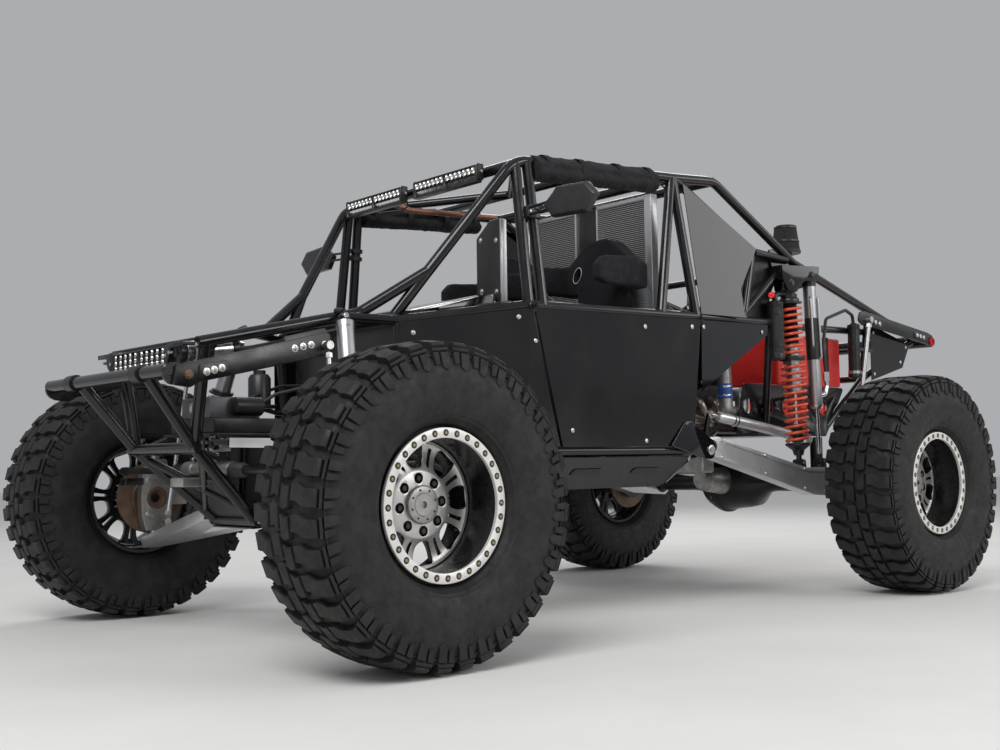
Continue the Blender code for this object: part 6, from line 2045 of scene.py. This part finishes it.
for spot in (link_start, link_end):
    upper.append(turn(
        "eye", spot - Vector((0.011, 0, 0)), ACROSS, drum(0.022, 0.0185, 0.003, 0.016, 0.006), 24, ZINC
    ))
pair("four_link", upper, "arm_alloy", "upper_link")

# Rear axle: housing with a bolted middle, pinion nose, flanges and brackets
AXLE_BLACK = satin_black("axle_black", 0.34)
AXLE_END = HALF_TRACK_R - HUB_DEPTH - SEAT_GAP
housing = [
    (-AXLE_END, 0), (-AXLE_END, 0.088), (-AXLE_END + 0.004, 0.09), (-AXLE_END + 0.018, 0.09),
    (-AXLE_END + 0.022, 0.046), (-0.29, 0.0445), (-0.235, 0.052), (-0.165, 0.122), (-0.13, 0.142), (-0.095, 0.15),
    (-0.09, 0.158), (-0.072, 0.158), (-0.066, 0.148), (0.0, 0.138), (0.07, 0.13), (0.118, 0.12), (0.19, 0.052),
    (0.24, 0.0445), (AXLE_END - 0.022, 0.046), (AXLE_END - 0.018, 0.09), (AXLE_END - 0.004, 0.09), (AXLE_END, 0.088),
    (AXLE_END, 0)
]
axle = [
    turn("housing", at((0, WHEELBASE, TYRE_R)), ACROSS, housing, 56, AXLE_BLACK),
    turn(
        "pinion", at((-0.03, WHEELBASE - 0.3, TYRE_R + 0.02)), (0, 1, -0.05),
        [(0, 0), (0, 0.045), (0.01, 0.052), (0.03, 0.052), (0.034, 0.058), (0.18, 0.072), (0.3, 0.08), (0.3, 0)], 40,
        CAST
    ),
]
cover_bolt = hex_bolt(0.0075, ZINC)
for k in range(12):
    a = 2 * math.pi * k / 12
    axle.append(moved(
        cover_bolt, facing(at((-0.0905, WHEELBASE + 0.15 * math.cos(a), TYRE_R + 0.15 * math.sin(a))), (-1, 0, 0))
    ))
bpy.data.objects.remove(cover_bolt)
for side in (1, -1):
    for low, high in (
        ((0.46, 2.93, 0.505), (0.468, 3.0, 0.735)), ((0.482, 2.93, 0.505), (0.49, 3.0, 0.735)),
        ((0.506, 2.96, 0.49), (0.534, 3.245, 0.556))
    ):
        x = sorted((side * low[0], side * high[0]))
        axle.append(block("bracket", at((x[0], low[1], low[2])), at((x[1], high[1], high[2])), AXLE_BLACK, 0.003))
    axle.append(bar(
        "brake_line",
        places(
            (side * 0.2, 2.93, 0.58), (side * 0.3, 2.925, 0.56), (side * 0.7, 2.925, 0.56), (side * 0.76, 2.935, 0.57)
        ),
        0.0035, 0.02, 10, BRIGHT
    ))
    caliper_x = sorted((side * 0.745, side * 0.797))
    axle.append(block(
        "caliper_seat", at((caliper_x[0], 2.87, 0.56)), at((caliper_x[1], 2.925, 0.6)), AXLE_BLACK, 0.004
    ))
whole("live_axle", axle, "axle_paint", "rear_axle")

# Front arms: lower arms with pockets in their tops, square upper arms with rod ends
def lower_top(x):
    return 0.343 + (0.835 - x) * 0.215


PLAN = [(0.835, -0.04), (0.835, 0.04), (0.3, 0.38), (0.3, 0.29), (0.52, 0.08), (0.2, 0.0), (0.2, -0.09)]
lower = plate("lower", [at((x, y, lower_top(x) - 0.001)) for x, y in PLAN], (0, 0, -0.048), ALLOY, 0.004, 3)
pockets = []
for outline in (
    [(0.76, 0.028), (0.56, 0.15), (0.545, 0.11), (0.64, 0.028)],
    [(0.74, -0.028), (0.62, -0.028), (0.42, -0.02), (0.26, -0.05), (0.3, -0.065)]
):
    pocket = plate(
        "pocket", [at((x, y, lower_top(x) - 0.008)) for x, y in rounded(outline, 0.012, 4)], (0, 0, 0.03), None
    )
    pockets.append(pocket)
cut_with(lower, pockets)
front_way = at(FRONT_COIL[1]) - at(FRONT_COIL[0])
lower_pieces = [
    smooth(lower),
    turn(
        "uniball", at((0.8, 0, 0.321)), UP,
        [(0, 0), (0, 0.026), (0.004, 0.03), (0.032, 0.03), (0.0365, 0.026), (0.0365, 0)], 36, SATIN
    ),
    turn(
        "damper_seat", at(FRONT_COIL[1]), front_way,
        [(0.0125, 0), (0.0125, 0.022), (0.016, 0.026), (0.06, 0.026), (0.06, 0)], 28, SATIN
    ),
]
for spot in ((0.206, -0.045, 0.455), (0.306, 0.335, 0.435)):
    lower_pieces.append(turn(
        "pivot", at(spot) - Vector((0, 0.04, 0)), BACK, drum(0.08, 0.023, 0.003, 0.02, 0.008), 28, SATIN
    ))
pair("lower_wishbone", lower_pieces, "arm_alloy", "lower_arm")
BALL = (0.8, 0.0, 0.698)
upper_pieces = [turn("uniball", at((0.8, 0, 0.6845)), UP, drum(0.031, 0.0385, 0.004, 0.034), 36, SATIN)]
for root, half in (((0.288, -0.32, 0.716), 0.0165), ((0.43, 0.375, 0.722), 0.015)):
    start, end = at(root), at(BALL)
    way = (end - start).normalized()
    put_down()
    bpy.ops.mesh.primitive_cube_add(size=1)
    square = lay_flat()
    long = (end - start).length - 0.105
    square.data.transform(Matrix.Diagonal((half * 2, half * 2, long, 1.0)))
    square.data.transform(facing(start + way * (0.08 + long / 2), way))
    upper_pieces.append(smooth(named(soften(square, 0.0035, 3), "square", ALLOY)))
    upper_pieces.append(turn(
        "shank", start, way, [(0.01, 0), (0.01, 0.0105), (0.082, 0.0105), (0.082, 0)], 18, SATIN
    ))
    upper_pieces.append(turn("jam_nut", start, way, sleeve(0.062, 0.076, 0.009, 0.0175), 6, SATIN))
    upper_pieces.append(turn(
        "rod_end", start - Vector((0, 0.012, 0)), BACK, drum(0.024, 0.0205, 0.003, 0.018, 0.006), 28, SATIN
    ))
    upper_pieces.append(bar(
        "pivot_bolt", [start - Vector((0, 0.032, 0)), start + Vector((0, 0.032, 0))], 0.006, 0.0, 6, ZINC
    ))
pair("upper_wishbone", upper_pieces, "arm_alloy", "upper_arm")

# Knuckles: cast uprights with an open bore, steering arm, caliper and hub face
KNUCKLE = [
    (-0.048, 0.368, 0.01), (0.048, 0.368, 0.01), (0.066, 0.43, 0.03), (0.07, 0.5, 0.05), (0.066, 0.59, 0.03),
    (0.042, 0.67, 0.01), (-0.042, 0.67, 0.01), (-0.066, 0.6, 0.03), (-0.07, 0.5, 0.05), (-0.066, 0.43, 0.03)
]
face_x = HALF_TRACK_F - HUB_DEPTH - SEAT_GAP
cast = side_plate("cast", 0.774, KNUCKLE, face_x - 0.7742, CAST, 0.005, 0.02)
bore = bar("bore", [at((0.7, 0, TYRE_R)), at((0.9, 0, TYRE_R))], 0.0345, 0.0, 40, None)
cut_with(cast, [bore])
upright = [
    smooth(cast),
    turn(
        "bore_ring", at((0.7725, 0, TYRE_R)), ACROSS,
        [(0, 0.035), (0, 0.046), (0.004, 0.048), (0.012, 0.048), (0.012, 0.035), (0, 0.035)], 44, RUSTY
    ),
    turn("bearing", at((0.79, 0, TYRE_R)), ACROSS, sleeve(0, 0.012, 0.02, 0.0345), 44, RUSTY),
    turn("top_pin", at((0.8, 0, 0.6405)), UP, rod(0.04, 0.019), 28, ZINC),
    turn("low_pin", at((0.8, 0, 0.3585)), UP, rod(0.0395, 0.019), 28, ZINC),
    plate(
        "steer_arm",
        [at((x, y, 0.5615)) for x, y in rounded(
            [(0.772, -0.06), (0.813, -0.06), (0.775, -0.166), (0.73, -0.159)], 0.008
        )],
        (0, 0, 0.029), SATIN, 0.003
    ),
    block("caliper_arm", at((0.796, 0.055, 0.475)), at((0.816, 0.215, 0.54)), CAST, 0.004),
    block("caliper", at((0.796, 0.176, 0.442)), at((0.848, 0.221, 0.57)), SATIN, 0.008, 3),
]
for y, z in ((0.055, 0.44), (-0.055, 0.44), (0.055, 0.58), (-0.055, 0.58)):
    screw = hex_bolt(0.008, ZINC)
    screw.data.transform(facing(at((0.7738, y * 0.78, z)), (-1, 0, 0)))
    upright.append(screw)
obj = join("upright", upright)
sided(obj, "knuckle_{}", "knuckle_cast", "knuckle")
rod_pieces = [bar("rod", [at((-0.745, -0.17, 0.62)), at((0.745, -0.17, 0.62))], 0.0125, 0.0, 20, SATIN)]
for side in (1, -1):
    rod_pieces.append(turn(
        "joint", at((side * 0.69, -0.17, 0.62)), (side, 0, 0),
        [(0, 0.012), (0, 0.015), (0.004, 0.0165), (0.04, 0.0165), (0.05, 0.014), (0.0545, 0.009), (0.0545, 0)], 24,
        SATIN
    ))
wear(join("tie_rod", rod_pieces), "steering_rod", "steering_steel", "steering_rod")

# Camera at the photograph's place
FOCAL_PX, PHOTO_WIDTH, SENSOR = 1215.42, 1000, 36
YAW, PITCH, ROLL = 0.8469, 0.0713, -0.0155
eye = Vector((4.0416, -4.0464, 0.6347))
ahead = Vector((-math.sin(YAW) * math.cos(PITCH), math.cos(YAW) * math.cos(PITCH), math.sin(PITCH)))
right = Vector((math.cos(YAW), math.sin(YAW), 0))
up = right.cross(ahead)
right, up = right * math.cos(ROLL) + up * math.sin(ROLL), up * math.cos(ROLL) - right * math.sin(ROLL)
cam_data = bpy.data.cameras.new("camera")
cam_data.sensor_width = SENSOR
cam_data.lens = FOCAL_PX / PHOTO_WIDTH * SENSOR
cam = bpy.data.objects.new("camera", cam_data)
bpy.context.scene.collection.objects.link(cam)
cam.matrix_world = Matrix.Translation(eye) @ Matrix((right, up, -ahead)).transposed().to_4x4()
bpy.context.scene.camera = cam

# Floor and light
put_down()
bpy.ops.mesh.primitive_plane_add(size=60, location=(0, 0, -0.0005))
floor = named(bpy.context.active_object, "studio_floor")
floor_look = Finish("pale_floor", (0.78, 0.77, 0.75), 0.75)
floor_look.to("Base Color", floor_look.ramp(floor_look.noise(2.0), 0.3, 0.7, (0.76, 0.75, 0.73), (0.8, 0.79, 0.77)))
floor.data.materials.append(floor_look.mat)

world = bpy.data.worlds.new("studio")
bpy.context.scene.world = world
world.use_nodes = True
sky = world.node_tree
backdrop = sky.nodes["Background"]
backdrop.inputs["Color"].default_value = (0.93, 0.95, 0.98, 1)
backdrop.inputs["Strength"].default_value = 0.44


def softbox(name, place, target, size, power):
    light = bpy.data.lights.new(name, "AREA")
    light.shape = "RECTANGLE"
    light.size, light.size_y = size
    light.energy = power
    lamp = bpy.data.objects.new(name, light)
    bpy.context.scene.collection.objects.link(lamp)
    lamp.location = place
    lamp.rotation_euler = (Vector(target) - Vector(place)).to_track_quat("-Z", "Y").to_euler()
    return lamp


softbox("key_softbox", (3.5, -6.0, 6.5), (0, 0, 0.8), (5.0, 3.0), 400)
softbox("side_softbox", (8.0, 2.5, 3.8), (0, 0.2, 0.9), (4.0, 2.2), 170)
softbox("rear_softbox", (-5.0, 5.0, 6.0), (0, 0, 0.8), (5.0, 3.0), 200)
softbox("panel_softbox", (4.4, 5.8, 3.7), (0.6, 0.4, 1.5), (3.4, 2.2), 48)

bpy.context.scene.view_settings.view_transform = "Standard"
